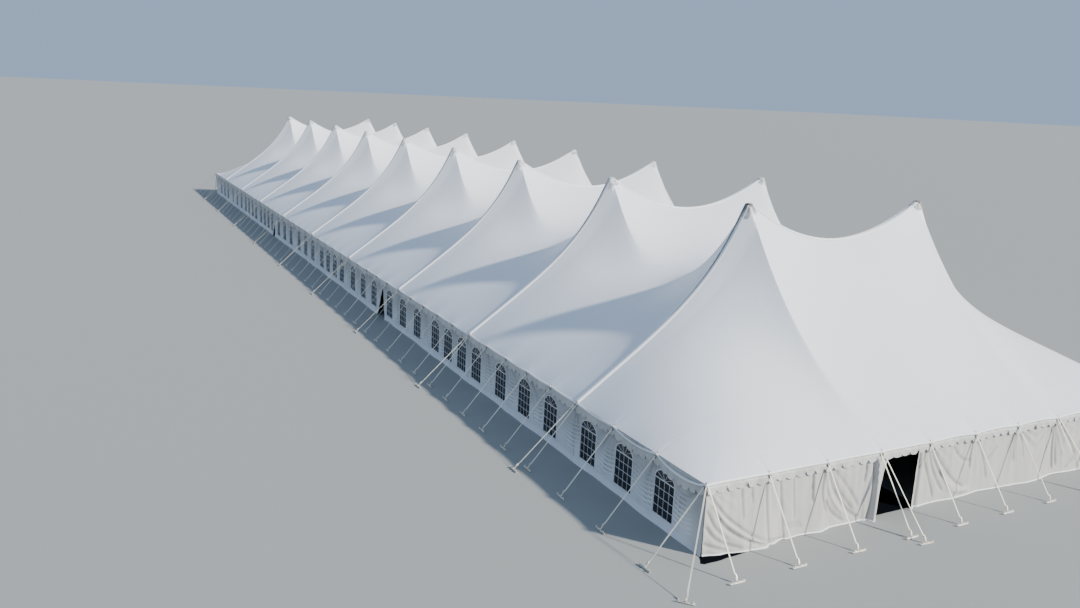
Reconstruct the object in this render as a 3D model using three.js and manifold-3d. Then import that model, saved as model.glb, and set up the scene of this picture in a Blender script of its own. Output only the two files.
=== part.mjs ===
// High-peak pole tent with two rows of centre poles, as a 1:10 scale model.
// Lengths are millimetres of the model: 100 mm stand for one metre of the real tent.
// +X runs across the tent, +Y along it away from the door end, and +Z is up from the ground.
import * as THREE from 'three';
import { mergeVertices } from 'three/addons/utils/BufferGeometryUtils.js';
import Module from 'manifold-3d';

const wasm = await Module();
wasm.setup();

// Plan of the tent
const bayLength = 1300;
const bayCount = 8;
const endLength = 1000;
const halfLength = (bayCount * bayLength) / 2 + endLength;
const halfWidth = 1530;
const poleRow = 600;
const eaveHeight = 300;
const peakHeight = 1220;
const crestHeight = 1030;
const valleyRise = 530;
const valleyPower = 1.95;
const baySagPower = 1.9;

// Sloping lines of the roof: the straight share of each, and the power that sweeps the rest up to the peak
const ribSweep = [0.71, 5];
const endPoleSweep = [0.62, 3.1];
const endMiddleSweep = [0.8, 2.5];
const endEavePower = 2.6;

// Where the roof's surface is measured: shares of its slope, of half a bay and of an end section
const slopeStations = [0.86, 0.68, 0.46, 0.22, 0];
const bayStations = [0.33, 1];
const endStations = [0.2, 0.45, 0.72, 1];

// Roof cloth, its flat joins and its hanging edge
const roofThickness = 5;
const joinHalf = 15;
const clearance = 0.3;
const lipThickness = 3;
const lipDrop = 32;
const bandThickness = 3;
const capHeight = 9;

// Side walls and what stands against them
const wallThickness = 4;
const wallTop = eaveHeight - roofThickness - clearance;
const sheetThickness = 2;
const sheetMargin = 10;
const sidePoleSize = 6;
const ropeHeight = 9;

// How many gaps between side poles there are along each stretch of the eave
const endSectionGaps = 3;
const bayGaps = 5;
const betweenRowsGaps = 4;
const outsideRowsGaps = 3;

// Windows and doors
const windowWidth = 138;
const windowSill = 41;
const windowSpring = 200;
const windowRise = 45;
const archSteps = 6;
const windowGroups = [
  [267, 3, 306], [1255, 3, 297], [2190, 4, 225], [3210, 3, 302],
  [4201, 3, 295], [5137, 4, 232], [6180, 3, 292], [7139, 3, 310],
  [8118, 4, 222], [9110, 4, 241], [10152, 3, 342], [11275, 3, 305],
];
const sideDoors = [{ place: 3980, width: 176, top: 235 }, { place: 7960, width: 100, top: 165 }];
const endDoor = { left: -570, right: -370, height: 262 };

// Guy straps and the bars that are staked down
const strapWidth = 5;
const strapThickness = 4;
const beltThickness = 2;
const beltLow = eaveHeight - 14;
const beltHigh = eaveHeight - 2;
const sideReach = 250;
const sideLongReach = 315;
const endReach = 215;
const endLongReach = 275;
const barLength = 90;
const barWidth = 7;
const barHeight = 6;
const pairSpread = 8;

// Centre poles
const poleRadius = 8;
const poleSides = 8;
const footRadius = 30;
const footHeight = 4;
const headRadius = 14;
const headHeight = 5;

const white = material(0xf2f4f6, 0.55, 0);
const cream = material(0xe6e4dc, 0.7, 0);
const clear = material(0x20262b, 0.2, 0);
const alloy = material(0xb9bcc0, 0.35, 0.9);

function material(colour, roughness, metalness) {
  return new THREE.MeshStandardMaterial({ color: colour, roughness, metalness });
}

function blend(low, high, share) {
  return low + (high - low) * share;
}

function smooth(share) {
  const s = Math.min(1, Math.max(0, share));
  return s * s * (3 - 2 * s);
}

function sweep(t, [straight, power]) {
  return straight * t + (1 - straight) * t ** power;
}

// Height of the roof along a line of poles, at a distance from the middle of the tent
function ribHeight(offset) {
  const inner = poleRow - joinHalf;
  const outer = poleRow + joinHalf;
  if (offset <= inner) return crestHeight + (peakHeight - crestHeight) * (offset / inner) ** 2;
  if (offset <= outer) return peakHeight;
  const t = (halfWidth - offset) / (halfWidth - outer);
  return eaveHeight + (peakHeight - eaveHeight) * sweep(t, ribSweep);
}

// Height of the roof halfway between two lines of poles
function valleyHeight(offset) {
  return eaveHeight + valleyRise * (1 - (offset / halfWidth) ** valleyPower);
}

// Height within a bay, where reach is the distance from the nearer line of poles
function bayHeight(offset, reach) {
  const share = Math.max(0, (reach - joinHalf) / (bayLength / 2 - joinHalf));
  const valley = valleyHeight(offset);
  return valley + (ribHeight(offset) - valley) * (1 - share) ** baySagPower;
}

// Height within an end section, where reach is the distance from its line of poles
function endHeight(offset, reach) {
  const t = 1 - Math.max(0, (reach - joinHalf) / (endLength - joinHalf));
  const atPoles = sweep(t, endPoleSweep);
  const atMiddle = sweep(t, endMiddleSweep);
  const atEave = 1 - (1 - t) ** endEavePower;
  const away = Math.abs(offset - poleRow);
  const share = offset < poleRow
    ? blend(atPoles, atMiddle, smooth(away / poleRow))
    : blend(atPoles, atEave, smooth(away / (halfWidth - poleRow)));
  return eaveHeight + (ribHeight(offset) - eaveHeight) * share;
}

// Stations across the tent, from the left eave to the right one
function acrossStations() {
  const outer = poleRow + joinHalf;
  const right = [0, poleRow / 2, poleRow - joinHalf, outer];
  for (const t of slopeStations) right.push(halfWidth - t * (halfWidth - outer));
  const left = right.slice(1).reverse().map((x) => -x);
  return [...left, ...right];
}

// Closed mesh from a grid of outer points and the grid of inner points behind it
function shellGeometry(outerGrid, innerGrid) {
  const rows = outerGrid.length;
  const columns = outerGrid[0].length;
  const positions = [...outerGrid.flat(), ...innerGrid.flat()].flat();
  const outer = (i, j) => i * columns + j;
  const inner = (i, j) => rows * columns + i * columns + j;
  const triangles = [];
  const place = (index) => positions.slice(3 * index, 3 * index + 3).join();
  const triangle = (...corners) => {
    if (new Set(corners.map(place)).size === 3) triangles.push(...corners);
  };
  const quad = (a, b, c, d) => {
    triangle(a, b, c);
    triangle(a, c, d);
  };
  for (let i = 0; i + 1 < rows; i += 1) {
    for (let j = 0; j + 1 < columns; j += 1) {
      quad(outer(i, j), outer(i, j + 1), outer(i + 1, j + 1), outer(i + 1, j));
      quad(inner(i, j), inner(i + 1, j), inner(i + 1, j + 1), inner(i, j + 1));
    }
  }
  for (let j = 0; j + 1 < columns; j += 1) {
    quad(outer(0, j), inner(0, j), inner(0, j + 1), outer(0, j + 1));
    quad(outer(rows - 1, j), outer(rows - 1, j + 1), inner(rows - 1, j + 1), inner(rows - 1, j));
  }
  for (let i = 0; i + 1 < rows; i += 1) {
    quad(outer(i, 0), outer(i + 1, 0), inner(i + 1, 0), inner(i, 0));
    quad(outer(i, columns - 1), inner(i, columns - 1), inner(i + 1, columns - 1), outer(i + 1, columns - 1));
  }
  const geometry = new THREE.BufferGeometry();
  geometry.setAttribute('position', new THREE.Float32BufferAttribute(positions, 3));
  geometry.setIndex(triangles);
  return geometry;
}

// Roof points of one row, with the edge that hangs down at both eaves
function roofRow(y, height, drop) {
  const outer = [];
  const inner = [];
  const add = (x, innerX, z, innerZ) => {
    outer.push([x, y, z]);
    inner.push([innerX, y, innerZ]);
  };
  const lipZ = eaveHeight - lipDrop;
  const lipX = halfWidth - lipThickness;
  add(-halfWidth, -lipX, lipZ, lipZ);
  for (const x of acrossStations()) {
    const z = drop ? lipZ : height(Math.abs(x));
    const innerX = Math.max(-lipX, Math.min(lipX, x));
    add(x, innerX, z, drop ? lipZ : z - roofThickness);
  }
  add(halfWidth, lipX, lipZ, lipZ);
  return { outer, inner };
}

function bayRoof(start) {
  const half = bayLength / 2;
  const reaches = [clearance / 2, joinHalf];
  for (const share of bayStations) reaches.push(joinHalf + share * (half - joinHalf));
  const places = [...reaches, ...reaches.slice(0, -1).reverse().map((reach) => bayLength - reach)];
  const rows = places.map((place) => {
    const reach = Math.min(place, bayLength - place);
    return roofRow(start + place, (offset) => bayHeight(offset, reach), false);
  });
  return shellGeometry(rows.map((row) => row.outer), rows.map((row) => row.inner));
}

// End section that runs from its line of poles to the end wall, on the +Y side
function endRoof() {
  const start = halfLength - endLength;
  const reaches = [clearance / 2, joinHalf];
  for (const share of endStations) reaches.push(joinHalf + share * (endLength - joinHalf));
  const rows = reaches.map((reach) => roofRow(start + reach, (offset) => endHeight(offset, reach), false));
  rows.push(roofRow(halfLength, () => eaveHeight, true));
  const innerEnd = halfLength - lipThickness;
  for (const row of rows.slice(-2)) row.inner = row.inner.map(([x, , z]) => [x, innerEnd, z]);
  return shellGeometry(rows.map((row) => row.outer), rows.map((row) => row.inner));
}

// Band that covers the join over one line of poles, thicker where it caps a pole
function joinBand(y) {
  const top = [];
  const under = [];
  const edges = [joinHalf, -joinHalf];
  const capStarts = [-poleRow - joinHalf, poleRow - joinHalf];
  const capStep = 1;
  const add = (x, z, thickness) => {
    top.push(edges.map((edge) => [x, y + edge, z + clearance + thickness]));
    under.push(edges.map((edge) => [x, y + edge, z + clearance]));
  };
  for (const x of acrossStations()) {
    const z = ribHeight(Math.abs(x));
    if (capStarts.includes(x - 2 * joinHalf)) add(x - capStep, z, capHeight);
    add(x, z, bandThickness);
    if (capStarts.includes(x)) add(x + capStep, z, capHeight);
  }
  return shellGeometry(top, under);
}

function centrePole(x, y) {
  const top = peakHeight - roofThickness - clearance;
  const profile = [
    [0, 0], [footRadius, 0], [footRadius, footHeight], [poleRadius, footHeight],
    [poleRadius, top - headHeight], [headRadius, top - headHeight], [headRadius, top], [0, top],
  ].map(([radius, z]) => new THREE.Vector2(radius, z));
  const geometry = new THREE.LatheGeometry(profile, poleSides);
  geometry.rotateX(Math.PI / 2);
  geometry.translate(x, y, 0);
  return geometry;
}

// Flat piece of even thickness, drawn as length by height, with its front at the depth given
function flatPiece(outline, thickness, inset) {
  const shape = new THREE.Shape(outline.map(([u, z]) => new THREE.Vector2(u, z)));
  const geometry = new THREE.ExtrudeGeometry(shape, { depth: thickness, bevelEnabled: false, steps: 1 });
  geometry.rotateX(Math.PI / 2);
  geometry.translate(0, inset + thickness, 0);
  return geometry;
}

// Turns a piece drawn along X, and facing -Y, to one of the four sides of the tent
function toSide(geometry, side) {
  if (side === 'near') geometry.translate(0, -halfLength, 0);
  if (side === 'far') mirror(geometry.translate(0, -halfLength, 0), 'y');
  if (side === 'left' || side === 'right') {
    mirror(geometry, 'x');
    geometry.rotateZ(-Math.PI / 2);
    geometry.translate(-halfWidth, 0, 0);
  }
  if (side === 'right') mirror(geometry, 'x');
  return geometry;
}

function mirror(geometry, axis) {
  geometry.scale(axis === 'x' ? -1 : 1, axis === 'y' ? -1 : 1, 1);
  const count = geometry.attributes.position.count;
  if (!geometry.index) geometry.setIndex(Array.from({ length: count }, (_, i) => i));
  const index = geometry.index.array;
  for (let i = 0; i < index.length; i += 3) [index[i], index[i + 1]] = [index[i + 1], index[i]];
  return geometry;
}

function windowOutline(centre) {
  const half = windowWidth / 2;
  const points = [[centre - half, windowSill], [centre + half, windowSill]];
  for (let i = 0; i <= archSteps; i += 1) {
    const angle = (Math.PI * i) / archSteps;
    points.push([centre + half * Math.cos(angle), windowSpring + windowRise * Math.sin(angle)]);
  }
  return points;
}

function windowCentres() {
  return windowGroups.flatMap(([first, count, step]) => (
    Array.from({ length: count }, (_, i) => first + i * step - halfLength)
  ));
}

// The three lengths of each side wall, from corner to door, door to door and door to corner
function wallRuns() {
  const nearCorner = { place: 0, width: 0, top: 0 };
  const farCorner = { place: 2 * halfLength, width: 0, top: 0 };
  const breaks = [nearCorner, ...sideDoors, farCorner];
  const ends = breaks.map((end) => ({ ...end, place: end.place - halfLength }));
  return ends.slice(1).map((end, i) => ({ from: ends[i], to: end }));
}

function within(place, limit) {
  return Math.max(-limit, Math.min(limit, place));
}

const wallInset = lipThickness + clearance;
const sheetInset = wallInset + wallThickness + clearance;
const sidePoleInset = sheetInset + sheetThickness + clearance;

// Length of side wall, whose ends are drawn apart below the top of each door
function sideWall({ from, to }) {
  const limit = halfLength - wallInset;
  const start = within(from.place + clearance / 2, limit);
  const end = within(to.place - clearance / 2, limit);
  const outline = [[start + from.width / 2, 0], [end - to.width / 2, 0]];
  if (to.top) outline.push([end, to.top]);
  outline.push([end, wallTop], [start, wallTop]);
  if (from.top) outline.push([start, from.top]);
  let wall = solid(flatPiece(outline, wallThickness, wallInset));
  for (const centre of windowCentres().filter((place) => place > start && place < end)) {
    wall = wall.subtract(solid(flatPiece(windowOutline(centre), wallThickness + 2, wallInset - 1)));
  }
  return fromSolid(wall);
}

// Clear sheet that reaches past the first and the last window of a length of wall
function windowSheet({ from, to }) {
  const centres = windowCentres().filter((place) => place > from.place && place < to.place);
  const reach = windowWidth / 2 + sheetMargin;
  const low = windowSill - sheetMargin;
  const high = windowSpring + windowRise + sheetMargin;
  const left = centres[0] - reach;
  const right = centres[centres.length - 1] + reach;
  return flatPiece([[left, low], [right, low], [right, high], [left, high]], sheetThickness, sheetInset);
}

function endWall() {
  const half = halfWidth - sheetInset;
  const { left, right, height } = endDoor;
  const outline = [
    [-half, 0], [left, 0], [left, height], [right, height],
    [right, 0], [half, 0], [half, wallTop], [-half, wallTop],
  ];
  return flatPiece(outline, wallThickness, wallInset);
}

// Row of side poles that hang from one rope, which ends at its outer poles
function poleComb(places, inset) {
  const half = sidePoleSize / 2;
  const ropeLow = wallTop - ropeHeight;
  const teeth = places.flatMap((place) => [
    [place - half, ropeLow], [place - half, 0], [place + half, 0], [place + half, ropeLow],
  ]);
  const ends = [[places[places.length - 1] + half, wallTop], [places[0] - half, wallTop]];
  return flatPiece([...teeth.slice(1, -1), ...ends], sidePoleSize, inset);
}

function sidePlaces() {
  const places = [-halfLength];
  const add = (start, length, gaps) => {
    for (let i = 1; i <= gaps; i += 1) places.push(start + (i * length) / gaps);
  };
  add(-halfLength, endLength, endSectionGaps);
  for (const start of joinPlaces().slice(0, -1)) add(start, bayLength, bayGaps);
  add(halfLength - endLength, endLength, endSectionGaps);
  return places;
}

function endPlaces() {
  const left = [];
  for (let i = 0; i <= outsideRowsGaps; i += 1) {
    left.push(-halfWidth + (i * (halfWidth - poleRow)) / outsideRowsGaps);
  }
  const middle = [];
  for (let i = 1; i < betweenRowsGaps; i += 1) middle.push(-poleRow + (i * 2 * poleRow) / betweenRowsGaps);
  return [...left, ...middle, ...left.reverse().map((place) => -place)];
}

function joinPlaces() {
  return Array.from({ length: bayCount + 1 }, (_, i) => endLength - halfLength + i * bayLength);
}

function solid(geometry) {
  const plain = geometry.clone();
  plain.deleteAttribute('normal');
  plain.deleteAttribute('uv');
  const merged = mergeVertices(plain, 1e-4);
  return new wasm.Manifold(new wasm.Mesh({
    numProp: 3,
    vertProperties: new Float32Array(merged.attributes.position.array),
    triVerts: new Uint32Array(merged.index.array),
  }));
}

function fromSolid(result) {
  const mesh = result.getMesh();
  const geometry = new THREE.BufferGeometry();
  geometry.setAttribute('position', new THREE.Float32BufferAttribute(mesh.vertProperties, 3));
  geometry.setIndex([...mesh.triVerts]);
  return geometry;
}

// Strap from the eave belt at a point, out along a flat direction, down to a bar on the ground
function strap(x, y, direction, reach) {
  const [dx, dy] = direction;
  const half = strapWidth / 2;
  const side = [-dy * half, dx * half];
  const start = beltThickness / 2 + clearance;
  const topZ = (beltLow + beltHigh) / 2;
  const corner = (along, across, z) => [
    x + dx * along + side[0] * across, y + dy * along + side[1] * across, z,
  ];
  const lowZ = barHeight / 2;
  const grid = (lift) => [
    [corner(start, 1, topZ + lift), corner(start, -1, topZ + lift)],
    [corner(reach, 1, lowZ + lift), corner(reach, -1, lowZ + lift)],
  ];
  return shellGeometry(grid(strapThickness / 2), grid(-strapThickness / 2));
}

function stakeBar(x, y, direction, reach) {
  const [dx, dy] = direction;
  const geometry = new THREE.BoxGeometry(barWidth, barLength, barHeight);
  geometry.rotateZ(Math.atan2(dy, dx));
  geometry.translate(x + dx * reach, y + dy * reach, barHeight / 2);
  return geometry;
}

// Every guy: its place on the eave, its direction over the ground and its reach
function guyList() {
  const guys = [];
  const joins = joinPlaces();
  for (const sign of [-1, 1]) {
    for (const place of sidePlaces()) {
      const doubled = joins.some((join) => Math.abs(join - place) < 1);
      const y = place - (Math.abs(place) === halfLength ? Math.sign(place) * pairSpread : 0);
      guys.push([sign * halfWidth, y - (doubled ? pairSpread : 0), [sign, 0], sideReach]);
      if (doubled) guys.push([sign * halfWidth, y + pairSpread, [sign, 0], sideLongReach]);
    }
    for (const place of endPlaces()) {
      const doubled = Math.abs(place) === poleRow;
      const x = place - (Math.abs(place) === halfWidth ? Math.sign(place) * pairSpread : 0);
      guys.push([x - (doubled ? pairSpread : 0), sign * halfLength, [0, sign], endReach]);
      if (doubled) guys.push([x + pairSpread, sign * halfLength, [0, sign], endLongReach]);
    }
    const diagonal = Math.SQRT1_2;
    guys.push([-halfWidth, sign * halfLength, [-diagonal, sign * diagonal], sideReach * Math.SQRT2]);
    guys.push([halfWidth, sign * halfLength, [diagonal, sign * diagonal], sideReach * Math.SQRT2]);
  }
  return guys;
}

// Belt along the whole eave with every strap and its bar
function guySet() {
  const inner = [halfWidth + clearance, halfLength + clearance];
  const ring = (grow) => [
    [-inner[0] - grow, -inner[1] - grow], [inner[0] + grow, -inner[1] - grow],
    [inner[0] + grow, inner[1] + grow], [-inner[0] - grow, inner[1] + grow],
  ].map(([x, y]) => new THREE.Vector2(x, y));
  const shape = new THREE.Shape(ring(beltThickness));
  shape.holes = [new THREE.Path(ring(0))];
  const belt = new THREE.ExtrudeGeometry(shape, { depth: beltHigh - beltLow, bevelEnabled: false, steps: 1 });
  belt.translate(0, 0, beltLow);
  let result = solid(belt);
  for (const guy of guyList()) {
    result = result.add(solid(strap(...guy)).add(solid(stakeBar(...guy))));
  }
  return fromSolid(result);
}

const tent = new THREE.Group();
tent.name = 'high_peak_pole_tent';

function addPiece(name, geometry, finish) {
  const mesh = new THREE.Mesh(geometry, finish);
  mesh.name = name;
  tent.add(mesh);
}

const sections = bayCount + 2;
addPiece('roof_section_1', mirror(endRoof(), 'y'), white);
joinPlaces().slice(0, -1).forEach((start, i) => addPiece(`roof_section_${i + 2}`, bayRoof(start), white));
addPiece(`roof_section_${sections}`, endRoof(), white);
joinPlaces().forEach((y, i) => {
  addPiece(`join_band_${i + 1}`, joinBand(y), white);
  addPiece(`left_centre_pole_${i + 1}`, centrePole(-poleRow, y), alloy);
  addPiece(`right_centre_pole_${i + 1}`, centrePole(poleRow, y), alloy);
});
for (const side of ['left', 'right']) {
  const limit = halfLength - sheetInset - sidePoleSize / 2;
  wallRuns().forEach((run, i) => {
    const places = sidePlaces().filter((place) => place >= run.from.place && place <= run.to.place);
    const comb = poleComb(places.map((place) => within(place, limit)), sidePoleInset);
    addPiece(`${side}_wall_${i + 1}`, toSide(sideWall(run), side), white);
    addPiece(`${side}_window_sheet_${i + 1}`, toSide(windowSheet(run), side), clear);
    addPiece(`${side}_side_poles_${i + 1}`, toSide(comb, side), alloy);
  });
}
for (const side of ['near', 'far']) {
  const limit = halfWidth - sidePoleInset - sidePoleSize - clearance - sidePoleSize / 2;
  const comb = poleComb(endPlaces().map((place) => within(place, limit)), sheetInset);
  addPiece(`${side}_end_wall`, toSide(endWall(), side), cream);
  addPiece(`${side}_side_poles`, toSide(comb, side), alloy);
}
addPiece('guy_straps', guySet(), white);

export default tent;
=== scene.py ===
# Looks of the high-peak pole tent, a 1:10 model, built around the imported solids.
# Lengths are metres of the model: 0.1 stands for one metre of the real tent.
# +X runs across the tent, +Y along it away from the door end, and +Z is up.
import math
import random

import bmesh
import bpy
from mathutils import Matrix, Vector


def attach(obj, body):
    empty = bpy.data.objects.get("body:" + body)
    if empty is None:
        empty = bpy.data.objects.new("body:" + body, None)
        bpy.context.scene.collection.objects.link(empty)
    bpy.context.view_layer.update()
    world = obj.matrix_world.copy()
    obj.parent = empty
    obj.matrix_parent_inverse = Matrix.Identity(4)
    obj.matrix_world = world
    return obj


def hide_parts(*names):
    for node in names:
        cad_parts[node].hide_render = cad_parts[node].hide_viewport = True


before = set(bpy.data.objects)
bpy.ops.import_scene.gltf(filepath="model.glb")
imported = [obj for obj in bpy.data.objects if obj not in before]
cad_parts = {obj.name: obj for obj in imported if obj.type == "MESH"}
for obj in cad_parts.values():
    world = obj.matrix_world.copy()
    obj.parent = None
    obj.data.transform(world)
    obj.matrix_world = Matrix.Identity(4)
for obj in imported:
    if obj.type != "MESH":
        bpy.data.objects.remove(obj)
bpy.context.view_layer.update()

# Plan of the tent, as in the solids
BAY = 1.3
BAYS = 8
END = 1.0
HALF_LENGTH = BAYS * BAY / 2 + END
HALF_WIDTH = 1.53
POLE_ROW = 0.6
POLES_PER_BAY = 5
POLES_PER_END = 3
EAVE = 0.3
PEAK = 1.22
CREST = 1.03
VALLEY_RISE = 0.53
JOIN_HALF = 0.015
CORNER_GAP = 1e-6
# Groups of windows in each side: the first one's place from the near end, their number and their spacing
WINDOW_GROUPS = [
    (0.267, 3, 0.306), (1.255, 3, 0.297), (2.19, 4, 0.225), (3.21, 3, 0.302),
    (4.201, 3, 0.295), (5.137, 4, 0.232), (6.18, 3, 0.292), (7.139, 3, 0.31),
    (8.118, 4, 0.222), (9.11, 4, 0.241), (10.152, 3, 0.342), (11.275, 3, 0.305),
]
# Each side door: its place from the near end, its width at the foot and its height
SIDE_DOORS = ((3.98, 0.176, 0.235), (7.96, 0.1, 0.165))
# The doorway in each end wall: its edges and its height
END_DOOR = (-0.57, -0.37, 0.262)
WALL_TOP = 0.2947
WALL_INSET = 0.0033

# Windows
WINDOW_HALF = 0.069
WINDOW_SILL = 0.041
WINDOW_SPRING = 0.2
WINDOW_RISE = 0.045
WINDOW_MIDDLE = 0.135

# Guy straps: reach of a single one and of the longer one of a pair, at the sides and the ends
SIDE_REACHES = (0.25, 0.315)
END_REACHES = (0.215, 0.275)
PAIR_SPREAD = 0.008

# Curves of the roof, each as the share that is straight and the power of the steeper rest
RIB_CURVE = (0.71, 5)
END_POLE_CURVE = (0.62, 3.1)
END_MIDDLE_CURVE = (0.8, 2.5)
END_EAVE_POWER = 2.6
VALLEY_POWER = 1.95
# A bay's hollow deepens faster beside its joins in a strip just outside each pole row
HOLLOW_POWER = 1.9
HOLLOW_EXTRA = 0.45
HOLLOW_STRIP = 0.8
HOLLOW_STRIP_WIDTH = 0.16
# Away from a join its level strip at the poles narrows, and its crease rounds off
STRIP_FADE = 0.06
CREASE_SPREAD = 0.2
BAY_CREASE_FADE = 0.6
END_CREASE_FADE = 1.3
# Places and weights over which the crease is rounded off
ROUNDING = ((-1, 1), (-0.5, 2), (0, 3), (0.5, 2), (1, 1))

# Crease that runs up the roof from each side pole, shallower on the long sides
POLE_CREASE_DEPTH = 0.0026
POLE_CREASE_HALF = 0.006
POLE_CREASE_START = 0.03
POLE_CREASE_LENGTH = 0.05
SIDE_CREASE_SHARE = 0.6

# Edge of the roof between the side poles
SIDE_EDGE_DIP = 0.0045
END_EDGE_BOW = 0.002
END_EDGE_MORE_BOW = 0.005
EDGE_DRAW = 0.0035
EDGE_FADE = 0.06

UP = Vector((0, 0, 1))


# Small sums

def smooth(share):
    share = min(1.0, max(0.0, share))
    return share * share * (3 - 2 * share)


def blend(low, high, share):
    return low + (high - low) * share


def bell(away, width):
    """1 in the middle, and next to nothing at twice the width."""
    return math.exp(-(away / width) ** 2)


def arch(share):
    """0 at both ends of a stretch and 1 in its middle."""
    return 4 * share * (1 - share)


def round_turn(count):
    """Angles of points spaced evenly round a circle."""
    return [2 * math.pi * k / count for k in range(count)]


def steps(count, start=0.0, end=1.0):
    return [start + (end - start) * i / count for i in range(count + 1)]


def curve_through(points, at):
    """Value of a smooth line through (place, value) points."""
    if at <= points[0][0]:
        return points[0][1]
    for (x0, y0), (x1, y1) in zip(points, points[1:]):
        if at <= x1:
            return blend(y0, y1, smooth((at - x0) / (x1 - x0)))
    return points[-1][1]


# Height of the roof

def sloped(share, straight, power):
    """A slope that is partly straight and partly a curve that steepens towards its head."""
    return straight * share + (1 - straight) * share ** power


def rib_height(offset, half=JOIN_HALF):
    """Height of a join; half is half the width of its level strip at the poles."""
    offset = abs(offset)
    inner = POLE_ROW - half
    outer = POLE_ROW + half
    if offset <= inner:
        return CREST + (PEAK - CREST) * (offset / inner) ** 2
    if offset <= outer:
        return PEAK
    share = max(0.0, (HALF_WIDTH - offset) / (HALF_WIDTH - outer))
    return EAVE + (PEAK - EAVE) * sloped(share, *RIB_CURVE)


def soft_rib(offset, away, fading):
    """Height of a join carried on along the tent, as a crease that is sharp at first and then rounds off."""
    half = JOIN_HALF * max(0.0, 1 - away / STRIP_FADE)
    spread = min(CREASE_SPREAD * min(1.0, away / fading) ** 3, HALF_WIDTH - offset)
    total = 0.0
    for place, weight in ROUNDING:
        total += weight * rib_height(offset + place * spread, half)
    return total / sum(weight for _, weight in ROUNDING)


def valley_height(offset):
    return EAVE + VALLEY_RISE * (1 - (offset / HALF_WIDTH) ** VALLEY_POWER)


def bay_height(offset, reach):
    """Height within a bay; reach is how far a point is from the nearest join."""
    away = max(0.0, reach - JOIN_HALF)
    share = away / (BAY / 2 - JOIN_HALF)
    valley = valley_height(offset)
    rib = soft_rib(offset, away, BAY_CREASE_FADE)
    power = HOLLOW_POWER + HOLLOW_EXTRA * bell(offset - HOLLOW_STRIP, HOLLOW_STRIP_WIDTH)
    return valley + (rib - valley) * (1 - share) ** power


def end_height(offset, reach):
    """Height within an end section; reach is how far a point is from its join."""
    away = max(0.0, reach - JOIN_HALF)
    share = 1 - away / (END - JOIN_HALF)
    at_poles = sloped(share, *END_POLE_CURVE)
    aside = abs(offset - POLE_ROW)
    if offset < POLE_ROW:
        risen = blend(at_poles, sloped(share, *END_MIDDLE_CURVE), smooth(aside / POLE_ROW))
    else:
        at_eave = 1 - (1 - share) ** END_EAVE_POWER
        risen = blend(at_poles, at_eave, smooth(aside / (HALF_WIDTH - POLE_ROW)))
    return EAVE + (soft_rib(offset, away, END_CREASE_FADE) - EAVE) * risen


def roof_height(x, y):
    reach_end = HALF_LENGTH - END - abs(y)
    if reach_end < 0:
        return end_height(abs(x), -reach_end)
    along = (y + HALF_LENGTH - END) % BAY
    return bay_height(abs(x), min(along, BAY - along))


# Places of side poles, joins and windows

def side_places():
    places = [-HALF_LENGTH + i * END / POLES_PER_END for i in range(POLES_PER_END + 1)]
    for bay in range(BAYS):
        places += [END - HALF_LENGTH + (bay + i / POLES_PER_BAY) * BAY for i in range(1, POLES_PER_BAY + 1)]
    return places + [HALF_LENGTH - END + i * END / POLES_PER_END for i in range(1, POLES_PER_END + 1)]


def end_places():
    outer = [-HALF_WIDTH + i * (HALF_WIDTH - POLE_ROW) / POLES_PER_END for i in range(POLES_PER_END + 1)]
    inner = [-POLE_ROW / 2, 0.0, POLE_ROW / 2]
    return outer + inner + [-place for place in reversed(outer)]


def join_places():
    return [END - HALF_LENGTH + i * BAY for i in range(BAYS + 1)]


def window_centres():
    return [first + i * step - HALF_LENGTH for first, count, step in WINDOW_GROUPS for i in range(count)]


def at_corner(place, half):
    """Whether a place along a side lies at one of its ends."""
    return abs(abs(place) - half) < CORNER_GAP


def eave_slack(place, places):
    """0 at a side pole and 1 halfway to the next."""
    for low, high in zip(places, places[1:]):
        if place <= high:
            return arch((place - low) / (high - low))
    return 0.0


WINDOW_CENTRES = window_centres()
SIDE_PLACES = side_places()
END_PLACES = end_places()
PEAKS = [(x, y) for y in join_places() for x in (-POLE_ROW, POLE_ROW)]


# Meshes

# A direction that hardly any bar runs along, to start its rings from
ASKEW = Vector((0.31, 0.17, 0.93))
# Width of a small block's two ends, as a share of its own width
TIP_SHARE = 0.85


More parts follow.
